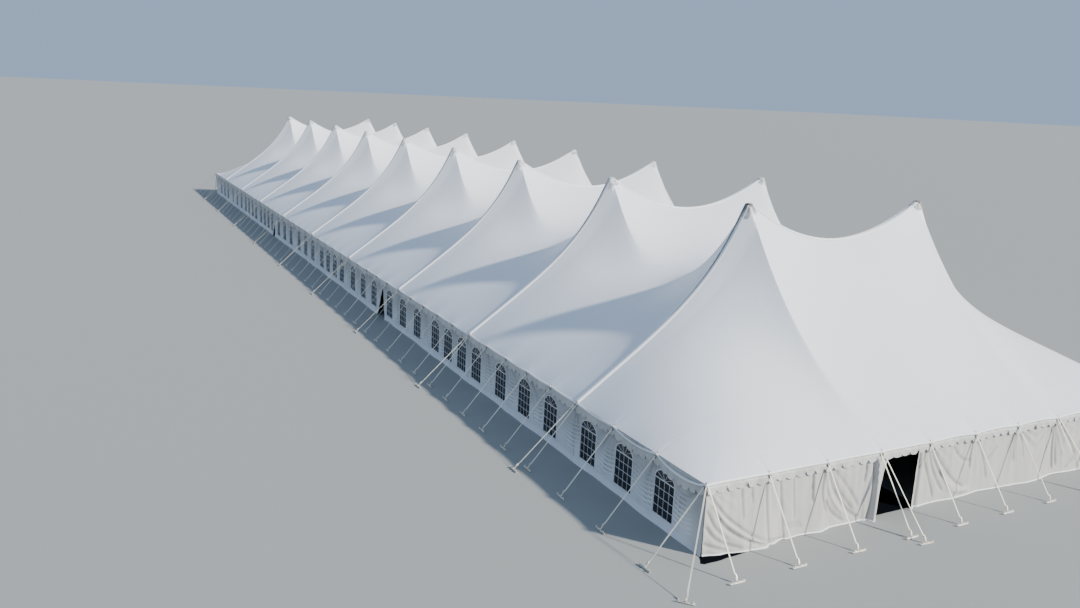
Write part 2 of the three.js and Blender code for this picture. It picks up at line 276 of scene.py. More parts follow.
class Maker:
    """Collects points and faces for one piece."""

    def __init__(self):
        self.points = []
        self.faces = []

    def grid(self, rows, closed=False):
        """Faces between rows of points; a closed one joins each row's end to its start."""
        start = len(self.points)
        width = len(rows[0])
        for row in rows:
            self.points.extend(row)
        for i in range(len(rows) - 1):
            for j in range(width if closed else width - 1):
                k = (j + 1) % width
                low = start + i * width
                self.faces.append((low + j, low + k, low + width + k, low + width + j))
        return start

    def cap(self, start, count, turned=False):
        """One face over a ring of points."""
        ring = range(start, start + count)
        self.faces.append(tuple(reversed(ring) if turned else ring))

    def sleeve(self, rows):
        """Closed grid with a face over each end."""
        width = len(rows[0])
        start = self.grid(rows, closed=True)
        self.cap(start, width, turned=True)
        self.cap(start + (len(rows) - 1) * width, width)

    def tube(self, path, radius, sides=8):
        """Round bar along a path; radius is one number or one for each point."""
        radii = radius if isinstance(radius, (list, tuple)) else [radius] * len(path)
        rows = []
        for i, point in enumerate(path):
            ahead = (path[min(i + 1, len(path) - 1)] - path[max(i - 1, 0)]).normalized()
            side = ahead.cross(ASKEW)
            if side.length < 0.1:
                side = ahead.cross(Vector((1, 0, 0)))
            side.normalize()
            up = ahead.cross(side)
            turned = [math.cos(a) * side + math.sin(a) * up for a in round_turn(sides)]
            rows.append([point + radii[i] * away for away in turned])
        self.sleeve(rows)

    def block(self, centre, axes, size, soft):
        """Box with its long edges taken off; axes are three unit vectors, the one along it first."""
        along, across, up = axes
        if along.cross(across).dot(up) < 0:
            across = -across
        long, wide, tall = (s / 2 for s in size)
        cut = soft * min(wide, tall)
        outline = [
            (wide, tall - cut), (wide - cut, tall), (cut - wide, tall), (-wide, tall - cut),
            (-wide, cut - tall), (cut - wide, -tall), (wide - cut, -tall), (wide, cut - tall),
        ]
        rows = []
        for shift, shrink in ((-long, TIP_SHARE), (cut - long, 1), (long - cut, 1), (long, TIP_SHARE)):
            middle = centre + along * shift
            rows.append([middle + across * u * shrink + up * v * shrink for u, v in outline])
        self.sleeve(rows)

    def piece(self, name, material, sharp_angle):
        """The mesh as an object; edges that turn by more than the angle, in degrees, stay sharp."""
        mesh = bpy.data.meshes.new(name)
        mesh.from_pydata([tuple(p) for p in self.points], [], self.faces)
        mesh.validate()
        mesh.update()
        mesh.materials.append(material)
        made = bpy.data.objects.new(name, mesh)
        bpy.context.scene.collection.objects.link(made)
        mesh.polygons.foreach_set("use_smooth", [True] * len(mesh.polygons))
        mesh.set_sharp_from_angle(angle=math.radians(sharp_angle))
        return made


def fit(piece, slot, *nodes):
    """Every piece rides on the one body, and the solids that it stands for are hidden."""
    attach(piece, "root")
    if nodes:
        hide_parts(*nodes)
    return piece


def on_side(side, along, inset, z):
    """Point on one side of the tent: along it, in from the eave line, and up."""
    if side == "left":
        return Vector((-HALF_WIDTH + inset, along, z))
    if side == "right":
        return Vector((HALF_WIDTH - inset, along, z))
    if side == "near":
        return Vector((along, -HALF_LENGTH + inset, z))
    return Vector((along, HALF_LENGTH - inset, z))


def outward_of(side):
    """Direction that a side faces."""
    return (on_side(side, 0, -1, 0) - on_side(side, 0, 0, 0)).normalized()


# Node groups shared by the materials

def new_group(name, inputs, outputs):
    group = bpy.data.node_groups.new(name, "ShaderNodeTree")
    for label, kind, value in inputs:
        socket = group.interface.new_socket(label, in_out="INPUT", socket_type=kind)
        socket.default_value = value
    for label, kind in outputs:
        group.interface.new_socket(label, in_out="OUTPUT", socket_type=kind)
    return group, group.nodes.new("NodeGroupInput"), group.nodes.new("NodeGroupOutput")


class Wiring:
    """Short calls for adding nodes to a tree."""

    def __init__(self, tree):
        self.tree = tree

    def link(self, source, target):
        self.tree.links.new(source, target)

    def node(self, kind, **settings):
        node = self.tree.nodes.new(kind)
        for name, value in settings.items():
            setattr(node, name, value)
        return node

    def math(self, operation, first, second=None):
        node = self.node("ShaderNodeMath", operation=operation)
        for socket, value in zip(node.inputs, (first, second)):
            if value is None:
                continue
            if isinstance(value, (int, float)):
                socket.default_value = value
            else:
                self.link(value, socket)
        return node.outputs[0]

    def place(self, stretch=(1, 1, 1)):
        """The point's own place, stretched."""
        spot = self.node("ShaderNodeTexCoord")
        mapping = self.node("ShaderNodeMapping")
        mapping.inputs["Scale"].default_value = stretch
        self.link(spot.outputs["Object"], mapping.inputs["Vector"])
        return mapping.outputs["Vector"]

    def axes(self):
        """The point's X, Y and Z."""
        parts = self.node("ShaderNodeSeparateXYZ")
        self.link(self.place(), parts.inputs[0])
        return parts.outputs

    def noise(self, vector, scale, detail=3.0, roughness=0.5, distortion=0.0):
        node = self.node("ShaderNodeTexNoise")
        node.inputs["Detail"].default_value = detail
        node.inputs["Roughness"].default_value = roughness
        node.inputs["Distortion"].default_value = distortion
        if isinstance(scale, (int, float)):
            node.inputs["Scale"].default_value = scale
        else:
            self.link(scale, node.inputs["Scale"])
        self.link(vector, node.inputs["Vector"])
        return node.outputs["Fac"]

    def spread(self, value, low, high, out_low=0.0, out_high=1.0, soft=True):
        """Stretches the range from low to high over the other range."""
        node = self.node("ShaderNodeMapRange")
        node.interpolation_type = "SMOOTHSTEP" if soft else "LINEAR"
        limits = (("From Min", low), ("From Max", high), ("To Min", out_low), ("To Max", out_high))
        for label, number in limits:
            node.inputs[label].default_value = number
        self.link(value, node.inputs["Value"])
        return node.outputs["Result"]

    def mix(self, share, first, second):
        node = self.node("ShaderNodeMix", data_type="RGBA")
        for socket, value in ((node.inputs[0], share), (node.inputs[6], first), (node.inputs[7], second)):
            if isinstance(value, (int, float)):
                socket.default_value = value
            elif isinstance(value, tuple):
                socket.default_value = (*value, 1.0)
            else:
                self.link(value, socket)
        return node.outputs[2]

    def roughen(self, shader, mask, roughness, more):
        """Roughness of the clean surface, and how much more it is where the mask is full."""
        rough = self.spread(mask, 0, 1, roughness, min(1.0, roughness + more), soft=False)
        self.link(rough, shader.inputs["Roughness"])

    def relief(self, shader, height, strength, distance):
        """Fine relief of the surface."""
        bump = self.node("ShaderNodeBump")
        bump.inputs["Strength"].default_value = strength
        bump.inputs["Distance"].default_value = distance
        self.link(height, bump.inputs["Height"])
        self.link(bump.outputs["Normal"], shader.inputs["Normal"])


def soiling_group():
    """Uneven cleanness of cloth: broad clouds, and faint streaks that run down it."""
    group, given, result = new_group(
        "cloth_soiling",
        [("Clean", "NodeSocketColor", (0.9, 0.9, 0.9, 1)), ("Soiled", "NodeSocketColor", (0.7, 0.7, 0.7, 1)),
         ("Amount", "NodeSocketFloat", 0.3), ("Size", "NodeSocketFloat", 3.0),
         ("Streaks", "NodeSocketFloat", 0.3)],
        [("Color", "NodeSocketColor"), ("Mask", "NodeSocketFloat")],
    )
    w = Wiring(group)
    clouds = w.spread(w.noise(w.place(), given.outputs["Size"], detail=4.0, roughness=0.55), 0.35, 0.75)
    streaks = w.spread(w.noise(w.place(stretch=(14, 14, 1.2)), scale=2.0, detail=2.0), 0.45, 0.8)
    run_down = w.math("MULTIPLY", streaks, given.outputs["Streaks"])
    both = w.math("ADD", w.math("MULTIPLY", clouds, 0.7), run_down)
    mask = w.math("MULTIPLY", both, given.outputs["Amount"])
    w.link(w.mix(mask, given.outputs["Clean"], given.outputs["Soiled"]), result.inputs["Color"])
    w.link(mask, result.inputs["Mask"])
    return group


def seam_group():
    """Lines where strips of cloth are welded together, across one axis."""
    group, given, result = new_group(
        "welded_seams",
        [("Along", "NodeSocketFloat", 0.0), ("Spacing", "NodeSocketFloat", 0.18),
         ("Width", "NodeSocketFloat", 0.003)],
        [("Mask", "NodeSocketFloat")],
    )
    w = Wiring(group)
    turns = w.math("DIVIDE", given.outputs["Along"], given.outputs["Spacing"])
    within = w.math("ABSOLUTE", w.math("SUBTRACT", w.math("FRACT", turns), 0.5))
    distance = w.math("MULTIPLY", within, given.outputs["Spacing"])
    near = w.math("DIVIDE", distance, given.outputs["Width"])
    w.link(w.spread(near, 0.35, 0.65, out_low=1.0, out_high=0.0), result.inputs["Mask"])
    return group


def wrinkle_group():
    """Fine creases left by folding and stretching cloth."""
    group, given, result = new_group(
        "cloth_creases",
        [("Size", "NodeSocketFloat", 8.0), ("Depth", "NodeSocketFloat", 1.0)],
        [("Height", "NodeSocketFloat")],
    )
    w = Wiring(group)
    broad = w.noise(w.place(stretch=(1, 1, 0.45)), given.outputs["Size"], detail=2.0, distortion=0.6)
    fine_scale = w.math("MULTIPLY", given.outputs["Size"], 4.3)
    fine = w.noise(w.place(stretch=(1, 1, 0.7)), fine_scale, roughness=0.6, distortion=0.3)
    height = w.math("ADD", w.math("MULTIPLY", broad, 0.75), w.math("MULTIPLY", fine, 0.25))
    w.link(w.math("MULTIPLY", height, given.outputs["Depth"]), result.inputs["Height"])
    return group


def crease_shade_and_dirt_group():
    """Painted shade where cloth lies deep in a crease, and dirt on the nearer peaks' skirts, as a darker colour by
    the noted depth.
    """
    group, given, result = new_group(
        "crease_shade_and_dirt",
        [("Color", "NodeSocketColor", (0.9, 0.9, 0.9, 1)), ("Dirt", "NodeSocketColor", (0.3, 0.3, 0.3, 1)),
         ("Depth", "NodeSocketFloat", 0.0), ("Amount", "NodeSocketFloat", 1.0)],
        [("Color", "NodeSocketColor")],
    )
    w = Wiring(group)
    share = w.math("MULTIPLY", given.outputs["Depth"], given.outputs["Amount"])
    w.link(w.mix(share, given.outputs["Color"], given.outputs["Dirt"]), result.inputs["Color"])
    return group


def metal_patch_group():
    """Patches in which weather has dulled bare metal, drawn out along its height."""
    group, given, result = new_group(
        "metal_patches",
        [("Clean", "NodeSocketColor", (0.6, 0.6, 0.6, 1)), ("Dull", "NodeSocketColor", (0.4, 0.4, 0.4, 1)),
         ("Size", "NodeSocketFloat", 40.0)],
        [("Color", "NodeSocketColor"), ("Mask", "NodeSocketFloat")],
    )
    w = Wiring(group)
    clouds = w.noise(w.place(stretch=(1, 1, 0.25)), given.outputs["Size"], detail=4.0, roughness=0.6)
    mask = w.spread(clouds, 0.35, 0.7)
    w.link(w.mix(mask, given.outputs["Clean"], given.outputs["Dull"]), result.inputs["Color"])
    w.link(mask, result.inputs["Mask"])
    return group


GROUPS = {
    "soiling": soiling_group(), "seams": seam_group(), "creases": wrinkle_group(),
    "crease_shade_and_dirt": crease_shade_and_dirt_group(), "metal_patches": metal_patch_group(),
}
# Strength of cloth's relief and of its seams', darkness of seams and of painted shade and dirt in creases,
# softness of the edge of the foot band's painted light, and how much finer the grain of metal is than its patches
CLOTH_RELIEF = 0.35
SEAM_RELIEF = 0.35
SEAM_DARKNESS = 0.7
CREASE_DARKNESS = 0.4
BAND_EDGE = 0.002
METAL_GRAIN = 6


def start_material(name):
    material = bpy.data.materials.new(name)
    material.use_nodes = True
    tree = material.node_tree
    shader = tree.nodes["Principled BSDF"]
    return material, Wiring(tree), shader


def use_group(w, name, **values):
    node = w.node("ShaderNodeGroup")
    node.node_tree = GROUPS[name]
    for label, value in values.items():
        socket = node.inputs[label]
        if isinstance(value, tuple):
            socket.default_value = (*value, 1.0)
        elif isinstance(value, (int, float)):
            socket.default_value = value
        else:
            w.link(value, socket)
    return node


def cloth_material(name, clean, soiled, amount, size, roughness, seams=None, creases=(9.0, 0.4), bump=0.002,
                   base_band=None, head_shade=None, streaks=0.3, in_creases=0.0, sheen=0.08, specular=0.5):
    """Coated tent cloth.

    seams: axis, shift, spacing, width and shade; creases: size and depth; base_band: top of the band at the foot
    that is painted paler as painted light, its share and its colour; head_shade: where the painted shade at the
    head begins and is full, and how dark it is; in_creases: how strongly the painted shade and dirt that the mesh
    notes show.
    """
    material, w, shader = start_material(name)
    soil = use_group(w, "soiling", Clean=clean, Soiled=soiled, Amount=amount, Size=size, Streaks=streaks)
    colour = soil.outputs["Color"]
    height = use_group(w, "creases", Size=creases[0], Depth=creases[1]).outputs["Height"]
    spot = w.axes() if seams or base_band or head_shade else None
    if seams:
        axis, shift, spacing, width, shade = seams
        seam = use_group(w, "seams", Along=w.math("ADD", spot[axis], shift), Spacing=spacing, Width=width)
        mask = seam.outputs["Mask"]
        colour = w.mix(w.math("MULTIPLY", mask, SEAM_DARKNESS), colour, tuple(shade * c for c in clean))
        height = w.math("ADD", height, w.math("MULTIPLY", mask, SEAM_RELIEF))
    # Painted light: the band at the wall's foot is painted paler, for the light on its flared foot.
    if base_band:
        top, share, paler = base_band
        colour = w.mix(w.spread(spot["Z"], top - BAND_EDGE, top, out_low=share, out_high=0.0), colour, paler)
    # Painted shade: the wall's head is painted darker towards its top, for the shade under the eave.
    if head_shade:
        low, high, shade = head_shade
        colour = w.mix(w.spread(spot["Z"], low, high), colour, tuple(shade * c for c in clean))
    # Painted shade in creases, and dirt on the nearer peaks' skirts, darkened by the depth that the mesh notes.
    if in_creases:
        depth = w.node("ShaderNodeAttribute", attribute_name="crease_depth")
        colour = use_group(w, "crease_shade_and_dirt", Color=colour, Dirt=tuple(CREASE_DARKNESS * c for c in soiled),
                           Depth=depth.outputs["Fac"], Amount=in_creases).outputs["Color"]
    w.link(colour, shader.inputs["Base Color"])
    w.roughen(shader, soil.outputs["Mask"], roughness, 0.25)
    shader.inputs["Sheen Weight"].default_value = sheen
    shader.inputs["Specular IOR Level"].default_value = specular
    w.relief(shader, height, CLOTH_RELIEF, bump)
    return material


def metal_material(name, clean, dull, roughness, metallic, size):
    """Pole and fitting metal, dulled in patches of a size and finely grained."""
    material, w, shader = start_material(name)
    patches = use_group(w, "metal_patches", Clean=clean, Dull=dull, Size=size)
    w.link(patches.outputs["Color"], shader.inputs["Base Color"])
    w.roughen(shader, patches.outputs["Mask"], roughness, 0.2)
    shader.inputs["Metallic"].default_value = metallic
    w.relief(shader, w.noise(w.place(), size * METAL_GRAIN), 0.2, 0.0004)
    return material


def pane_material():
    """Clear flexible sheet, painted near-black as the shade of the inside behind it."""
    material, w, shader = start_material("window_pane_sheet")
    waves = w.noise(w.place(), 9.0, detail=2.0, distortion=0.8)
    # Painted shade: the shaded inside seen through the sheet, as a near-black colour.
    colour = w.mix(w.spread(waves, 0.3, 0.8), (0.012, 0.014, 0.02), (0.035, 0.04, 0.05))
    w.link(colour, shader.inputs["Base Color"])
    shader.inputs["Roughness"].default_value = 0.18
    shader.inputs["Specular IOR Level"].default_value = 0.35
    w.relief(shader, waves, 0.25, 0.003)
    return material


ROOF_CLOTH = cloth_material(
    "roof_cloth_vinyl", clean=(0.85, 0.868, 0.9), soiled=(0.74, 0.768, 0.815), amount=0.35, size=1.6,
    roughness=0.42, seams=("Y", 0.0, 0.1857, 0.0022, 0.95), creases=(5.0, 0.35), bump=0.003)
JOIN_CLOTH = cloth_material(
    "join_flap_cloth", clean=(0.98, 0.98, 0.98), soiled=(0.9, 0.905, 0.92), amount=0.2, size=9.0,
    roughness=0.5)
PEAK_CLOTH = cloth_material(
    "peak_boot_cloth", clean=(0.2, 0.19, 0.18), soiled=(0.07, 0.065, 0.06), amount=0.9, size=30.0,
    roughness=0.65, creases=(60.0, 1.0), bump=0.004)
PALE_PEAK_CLOTH = cloth_material(
    "pale_peak_boot_cloth", clean=(0.66, 0.66, 0.66), soiled=(0.3, 0.3, 0.29), amount=0.8, size=30.0,
    roughness=0.65, specular=0.3)
SKIRT_CLOTH = cloth_material(
    "peak_skirt_cloth", clean=(0.78, 0.78, 0.78), soiled=(0.2, 0.19, 0.185), amount=0.9, size=26.0,
    roughness=0.6, creases=(50.0, 0.8), bump=0.003, streaks=0.8, in_creases=0.95)
HEM_CLOTH = cloth_material(
    "eave_hem_webbing", clean=(0.92, 0.925, 0.93), soiled=(0.74, 0.74, 0.72), amount=0.35, size=12.0,
    roughness=0.55)
VALANCE_CLOTH = cloth_material(
    "valance_cloth", clean=(0.6, 0.6, 0.58), soiled=(0.4, 0.4, 0.375), amount=0.7, size=12.0,
    roughness=0.55, creases=(26.0, 0.8), streaks=0.8)
# Side wall vinyl with painted light in its foot band, and painted shade at its head and in its creases.
WALL_CLOTH = cloth_material(
    "side_wall_vinyl", clean=(0.86, 0.88, 0.895), soiled=(0.7, 0.73, 0.75), amount=0.4, size=6.0,
    roughness=0.48, seams=("Y", 0.65, 1.3, 0.0075, 0.5), creases=(16.0, 0.9), bump=0.003,
    base_band=(0.031, 0.75, (0.95, 0.95, 0.97)), head_shade=(0.05, 0.21, 0.56), streaks=0.8, in_creases=1.0)
END_CLOTH = cloth_material(
    "end_wall_cloth", clean=(0.56, 0.55, 0.52), soiled=(0.42, 0.41, 0.375), amount=0.5, size=6.0,
    roughness=0.62, seams=("X", 0.0, 0.1525, 0.002, 0.86), creases=(18.0, 0.9), bump=0.003, streaks=0.5,
    in_creases=0.4)
# Painted shade: near-black cloth without sheen or shine, for the sheets laid where the inside's shade shows.
PAINTED_SHADE_CLOTH = cloth_material(
    "painted_shade_sheet_cloth", clean=(0.004, 0.005, 0.007), soiled=(0.008, 0.008, 0.01), amount=0.3, size=6.0,
    roughness=0.9, sheen=0.0, specular=0.0)
STRAP_CLOTH = cloth_material(
    "strap_webbing_cloth", clean=(0.97, 0.94, 0.78), soiled=(0.78, 0.73, 0.56), amount=0.35, size=30.0,
    roughness=0.75, creases=(300.0, 0.5), bump=0.0008)
BAR_PAINT = cloth_material(
    "window_bar_vinyl", clean=(0.8, 0.81, 0.82), soiled=(0.66, 0.68, 0.7), amount=0.3, size=20.0,
    roughness=0.45)
POLE_METAL = metal_material(
    "pole_tube_metal", clean=(0.66, 0.67, 0.69), dull=(0.48, 0.49, 0.5), roughness=0.32, metallic=1.0,
    size=40.0)
STEEL = metal_material(
    "stake_bar_steel", clean=(0.84, 0.81, 0.73), dull=(0.6, 0.55, 0.46), roughness=0.5, metallic=0.3,
    size=60.0)
PIN_STEEL = metal_material(
    "pole_pin_steel", clean=(0.25, 0.24, 0.24), dull=(0.14, 0.12, 0.11), roughness=0.5, metallic=0.8,
    size=80.0)
PANE_SHEET = pane_material()


# Roof

# Section of a join flap, as places along the tent and heights over the join
FLAP_PROFILE = [(-0.0182, -0.0008), (-0.0172, 0.0022), (-0.0115, 0.0062), (-0.0055, 0.0088), (-0.0025, 0.0084),
                (-0.0008, 0.0052), (0.0015, 0.0018), (0.005, 0.0014), (0.0078, 0.0024), (0.0098, 0.0044),
                (0.0122, 0.0052), (0.015, 0.0036), (0.0168, -0.0008)]
LACING_RELIEF = 0.0004


def across_stations():
    """Stations from one eave to the other, closer together near the eaves and the peaks."""
    outer = POLE_ROW + JOIN_HALF
    inner = POLE_ROW - JOIN_HALF
    right = [inner * (1 - (1 - s) ** 1.4) for s in steps(16)] + [POLE_ROW, outer]
    right += [outer + (HALF_WIDTH - outer) * (smooth(s) + s) / 2 for s in steps(40)[1:]]
    return [-x for x in reversed(right[1:])] + right


def with_creases(stations, places):
    """Adds three stations about each side pole that the stations pass."""
    low = stations[0] - 0.0001
    high = stations[-1] + 0.0001
    extra = [place + shift for place in places for shift in (-POLE_CREASE_HALF, 0.0, POLE_CREASE_HALF)]
    kept = [place for place in stations if min(abs(place - other) for other in extra) > 0.004]
    ends = [stations[0], stations[-1]]
    return sorted(set(kept + ends + [place for place in extra if low < place < high]))


def pole_crease(along, away, places):
    """Depth of the short crease that runs up the roof from every side pole."""
    gap = min(abs(along - place) for place in places)
    if gap > 0.02:
        return 0.0
    return POLE_CREASE_DEPTH * bell(gap, POLE_CREASE_HALF) * bell(away - POLE_CREASE_START, POLE_CREASE_LENGTH)


def edge_rise(by_side, along):
    """How far the roof's edge is above its side poles: it dips on the long sides and bows up at the ends."""
    if by_side:
        return -SIDE_EDGE_DIP * eave_slack(along, SIDE_PLACES)
    return (END_EDGE_BOW + END_EDGE_MORE_BOW * smooth((along + 0.45) / 0.4)) * eave_slack(along, END_PLACES)


def eave_point(x, y, z):
    """The roof's edge dips or bows up, and draws in, between the side poles."""
    side = HALF_WIDTH - abs(x)
    end = HALF_LENGTH - abs(y)
    near = math.exp(-min(side, end) / EDGE_FADE)
    if side < end:
        z += near * edge_rise(True, y) - SIDE_CREASE_SHARE * pole_crease(y, side, SIDE_PLACES)
        return Vector((x - math.copysign(EDGE_DRAW * near * eave_slack(y, SIDE_PLACES), x), y, z))
    z += near * edge_rise(False, x) - pole_crease(x, end, END_PLACES)
    return Vector((x, y - math.copysign(EDGE_DRAW * near * eave_slack(x, END_PLACES), y), z))


def roof_cloth(number):
    """One section of roof cloth, from join to join or from a join to the end eave."""
    at_end = number in (1, BAYS + 2)
    start = -HALF_LENGTH if number == 1 else END - HALF_LENGTH + (number - 2) * BAY
    length = END if at_end else BAY
    places = [start + length * s for s in steps(52)]
    for join in join_places():
        if start - 0.01 < join < start + length + 0.01:
            places.append(join + math.copysign(JOIN_HALF, start + length / 2 - join))
    across = with_creases(across_stations(), END_PLACES) if at_end else across_stations()
    maker = Maker()
    maker.grid([[eave_point(x, y, roof_height(x, y)) for x in across]
                for y in with_creases(sorted(places), SIDE_PLACES)])
    piece = fit(maker.piece(f"roof_cloth_{number}", ROOF_CLOTH, 9), "roof_cloth", f"roof_section_{number}")


def join_flap(number, y):
    """Raised flap over a join, with a laced bead along both of its edges."""
    base = across_stations()
    stations = []
    for low, high in zip(base, base[1:]):
        stations += [low, (low + high) / 2]
    rows = []
    for k, x in enumerate(stations + [HALF_WIDTH]):
        height = rib_height(x) + LACING_RELIEF * (k % 2)
        rows.append([Vector((x, y + across, height + up)) for across, up in FLAP_PROFILE])
    maker = Maker()
    maker.grid(rows)
    fit(maker.piece(f"join_flap_{number}", JOIN_CLOTH, 80), "join_cloth", f"join_band_{number}")


# Peaks nearer than this place along the tent are dark with dirt, and the others have this share of it
CLEAN_PEAKS_FROM = -4.5
CLEAN_PEAK_DIRT = 0.35
# Points round a boot, pleats in its skirt, and the skirt's inner radius, its rings and their spacing
BOOT_TURNS = 42
PLEATS = 6
SKIRT_RADIUS = 0.0155
SKIRT_RINGS = 6
SKIRT_RING_STEP = 0.0035
# Rings of a cap, from its rim up, as radius and height over the peak
CAP_RINGS = ((0.0205, -0.012), (0.0202, 0.004), (0.0185, 0.0102), (0.012, 0.0128), (0.004, 0.0135))
# Reach of a laced tongue down the join, outwards and inwards, from where it starts
TONGUE_START = 0.012
TONGUE_OUT = 0.42
TONGUE_IN = 0.08
TONGUE_LIFT = 0.0062
TONGUE_LIP = 0.0045


def skirt_streaks_and_shade(spot):
    """Dark streaks round the pleats of a peak's skirt, darkest on the nearest pair, and painted shade down the
    shaded side of its laced tongue.
    """
    px, py = min(PEAKS, key=lambda peak: math.hypot(peak[0] - spot.x, peak[1] - spot.y))
    outward = (spot.x - px) * math.copysign(1, px)
    across = spot.y - py
    # Painted shade down the far, shaded side of the laced tongue.
    if outward > 0.045 or (outward > 0.03 and abs(across) < 0.018):
        return 0.75 * smooth((across + 0.002) / 0.003) * (1 - 0.6 * smooth((outward - 0.03) / 0.4))
    pleat = 0.5 + 0.5 * math.sin(PLEATS * math.atan2(across, spot.x - px) + 2 * py)
    weathered = 1.0 if py < CLEAN_PEAKS_FROM else CLEAN_PEAK_DIRT
    return weathered * (0.2 + 0.8 * pleat ** 1.5) * (1 - smooth((math.hypot(across, outward) - 0.022) / 0.024))


def boot_skirt(maker, number, px, py):
    """Pleated skirt that lies on the roof round a peak."""
    rows = []
    for ring in range(SKIRT_RINGS + 1):
        share = ring / SKIRT_RINGS
        row = []
        for angle in round_turn(BOOT_TURNS):
            reach = (SKIRT_RADIUS + SKIRT_RING_STEP * ring) * (1 + 0.25 * abs(math.cos(angle)) * share)
            x = px + reach * math.cos(angle)
            y = py + reach * math.sin(angle)
            fold = 0.0012 * math.sin(PLEATS * angle + number) * share
            over_join = 0.0034 + 0.0078 * bell(y - py, 0.0135)
            tucked = 0.0015 if ring == SKIRT_RINGS else 0
            row.append(Vector((x, y, roof_height(x, y) + over_join + fold - tucked)))
        rows.append(row)
    maker.grid(rows, closed=True)


def boot_tongues(maker, px, py):
    """Tongues that are laced down the join on both sides of a peak."""
    outwards = math.copysign(1, px)
    for way, length in ((outwards, TONGUE_OUT), (-outwards, TONGUE_IN)):
        rows = []
        for s in steps(20):
            x = px + way * blend(TONGUE_START, length, s)
            wide = blend(0.0175, 0.0035, s ** 0.8)
            z = rib_height(x) + TONGUE_LIFT
            rows.append([Vector((x, py + wide * v, z - TONGUE_LIP if v == 1 else z))
                         for v in (-0.15, 0.2, 0.6, 0.9, 1)])
        maker.grid(rows)


def boot_cap(maker, number, px, py):
    """Round cap over a pole head, a little out of round."""
    rows = []
    for radius, rise in CAP_RINGS:
        row = []
        for angle in round_turn(BOOT_TURNS):
            reach = radius * (1 + 0.04 * math.sin(5 * angle + number))
            row.append(Vector((px + reach * math.cos(angle), py + reach * math.sin(angle), PEAK + rise)))
        rows.append(row)
    start = maker.grid(rows, closed=True)
    maker.cap(start + (len(rows) - 1) * BOOT_TURNS, BOOT_TURNS)


def peak_boots():
    """Cap and skirt of heavier cloth over each pole head, weathered dark on the nearest pair."""
    skirts = Maker()
    dark_caps = Maker()
    pale_caps = Maker()
    for number, (px, py) in enumerate(PEAKS):
        boot_skirt(skirts, number, px, py)
        boot_tongues(skirts, px, py)
        boot_cap(dark_caps if py < CLEAN_PEAKS_FROM else pale_caps, number, px, py)
    piece = skirts.piece("peak_skirts", SKIRT_CLOTH, 50)
    note_creases(piece, skirt_streaks_and_shade)
    fit(piece, "join_cloth")
    fit(dark_caps.piece("peak_caps", PEAK_CLOTH, 50), "join_cloth")
    fit(pale_caps.piece("pale_peak_caps", PALE_PEAK_CLOTH, 50), "join_cloth")


# Eave hem and valance

def eave_line(side, along):
    """How far in from its line the roof's edge lies at a point along one side, and its height."""
    by_side = side in ("left", "right")
    slack = eave_slack(along, SIDE_PLACES if by_side else END_PLACES)
    return EDGE_DRAW * slack, EAVE + edge_rise(by_side, along)


# Sag of the eave belt in the spans of a long side, counted from the corner
CORNER_SAGS = {0: 0.026, 1: 0.015, 2: 0.005}
END_SAG = 0.0015
# Section of the belt, as places outwards from the eave line and upwards
BELT_PROFILE = [(0.0012, 0.0032), (-0.002, 0.0028), (-0.0042, 0.0006), (-0.0046, -0.0042), (-0.0038, -0.0062),
                (0.0016, -0.0066)]
BELT_STEP = 0.011
BELT_TAB = (0.013, 0.003, 0.01)
# The valance: width and depth of a lobe, its rounding, depth and half width of the notches between lobes (in
# shares of a lobe), how far under the roof's edge it starts, and its whole depth
LOBE = 0.05
LOBE_DEPTH = 0.037
LOBE_ROUND = 0.006
NOTCH_DEPTH = 0.011
NOTCH_HALF = 0.13
VALANCE_START = 0.001


def belt_sag(side, along):
    """How far the eave belt hangs below the roof's edge: most in the slack spans beside the corners."""
    if side in ("near", "far"):
        return END_SAG * eave_slack(along, END_PLACES)
    last = len(SIDE_PLACES) - 2
    number = 0
    while along > SIDE_PLACES[number + 1] + 1e-9 and number < last:
        number += 1
    sag = CORNER_SAGS.get(min(number, last - number), 0.002 + 0.001 * (number % 3))
    return sag * eave_slack(along, SIDE_PLACES)


def eave_hem(side, half, places):
    """Bright belt along the edge of the roof, with a small tab at every side pole."""
    maker = Maker()
    rows = []
    for along in steps(int(2 * half / BELT_STEP), -half, half):
        inset, z = eave_line(side, along)
        sag = belt_sag(side, along)
        rows.append([on_side(side, along, inset + out - 0.1 * sag, z - sag + up) for out, up in BELT_PROFILE])
    maker.grid(rows)
    outward = outward_of(side)
    for place in places:
        spot = on_side(side, place, -0.0035, EAVE - 0.002)
        maker.block(spot, (UP.cross(outward), outward, UP), BELT_TAB, 0.4)
    fit(maker.piece(f"{side}_eave_hem", HEM_CLOTH, 50), "strap_webbing", "guy_straps")


def lobe_fold(along, v, sway, curve):
    """How far the cloth of a lobe waves out of its plane, v of the way down it."""
    fold = 0.002 * math.sin(along * 61) + 0.0016 * math.sin(along * 143 + 1.3)
    fold += 0.0016 * v * math.sin(along * 97 + 6 * v + 4 * sway)
    return fold + 0.0014 * math.sin(along * 320 + 5 * v + 9 * sway) * (1 - curve / 2)


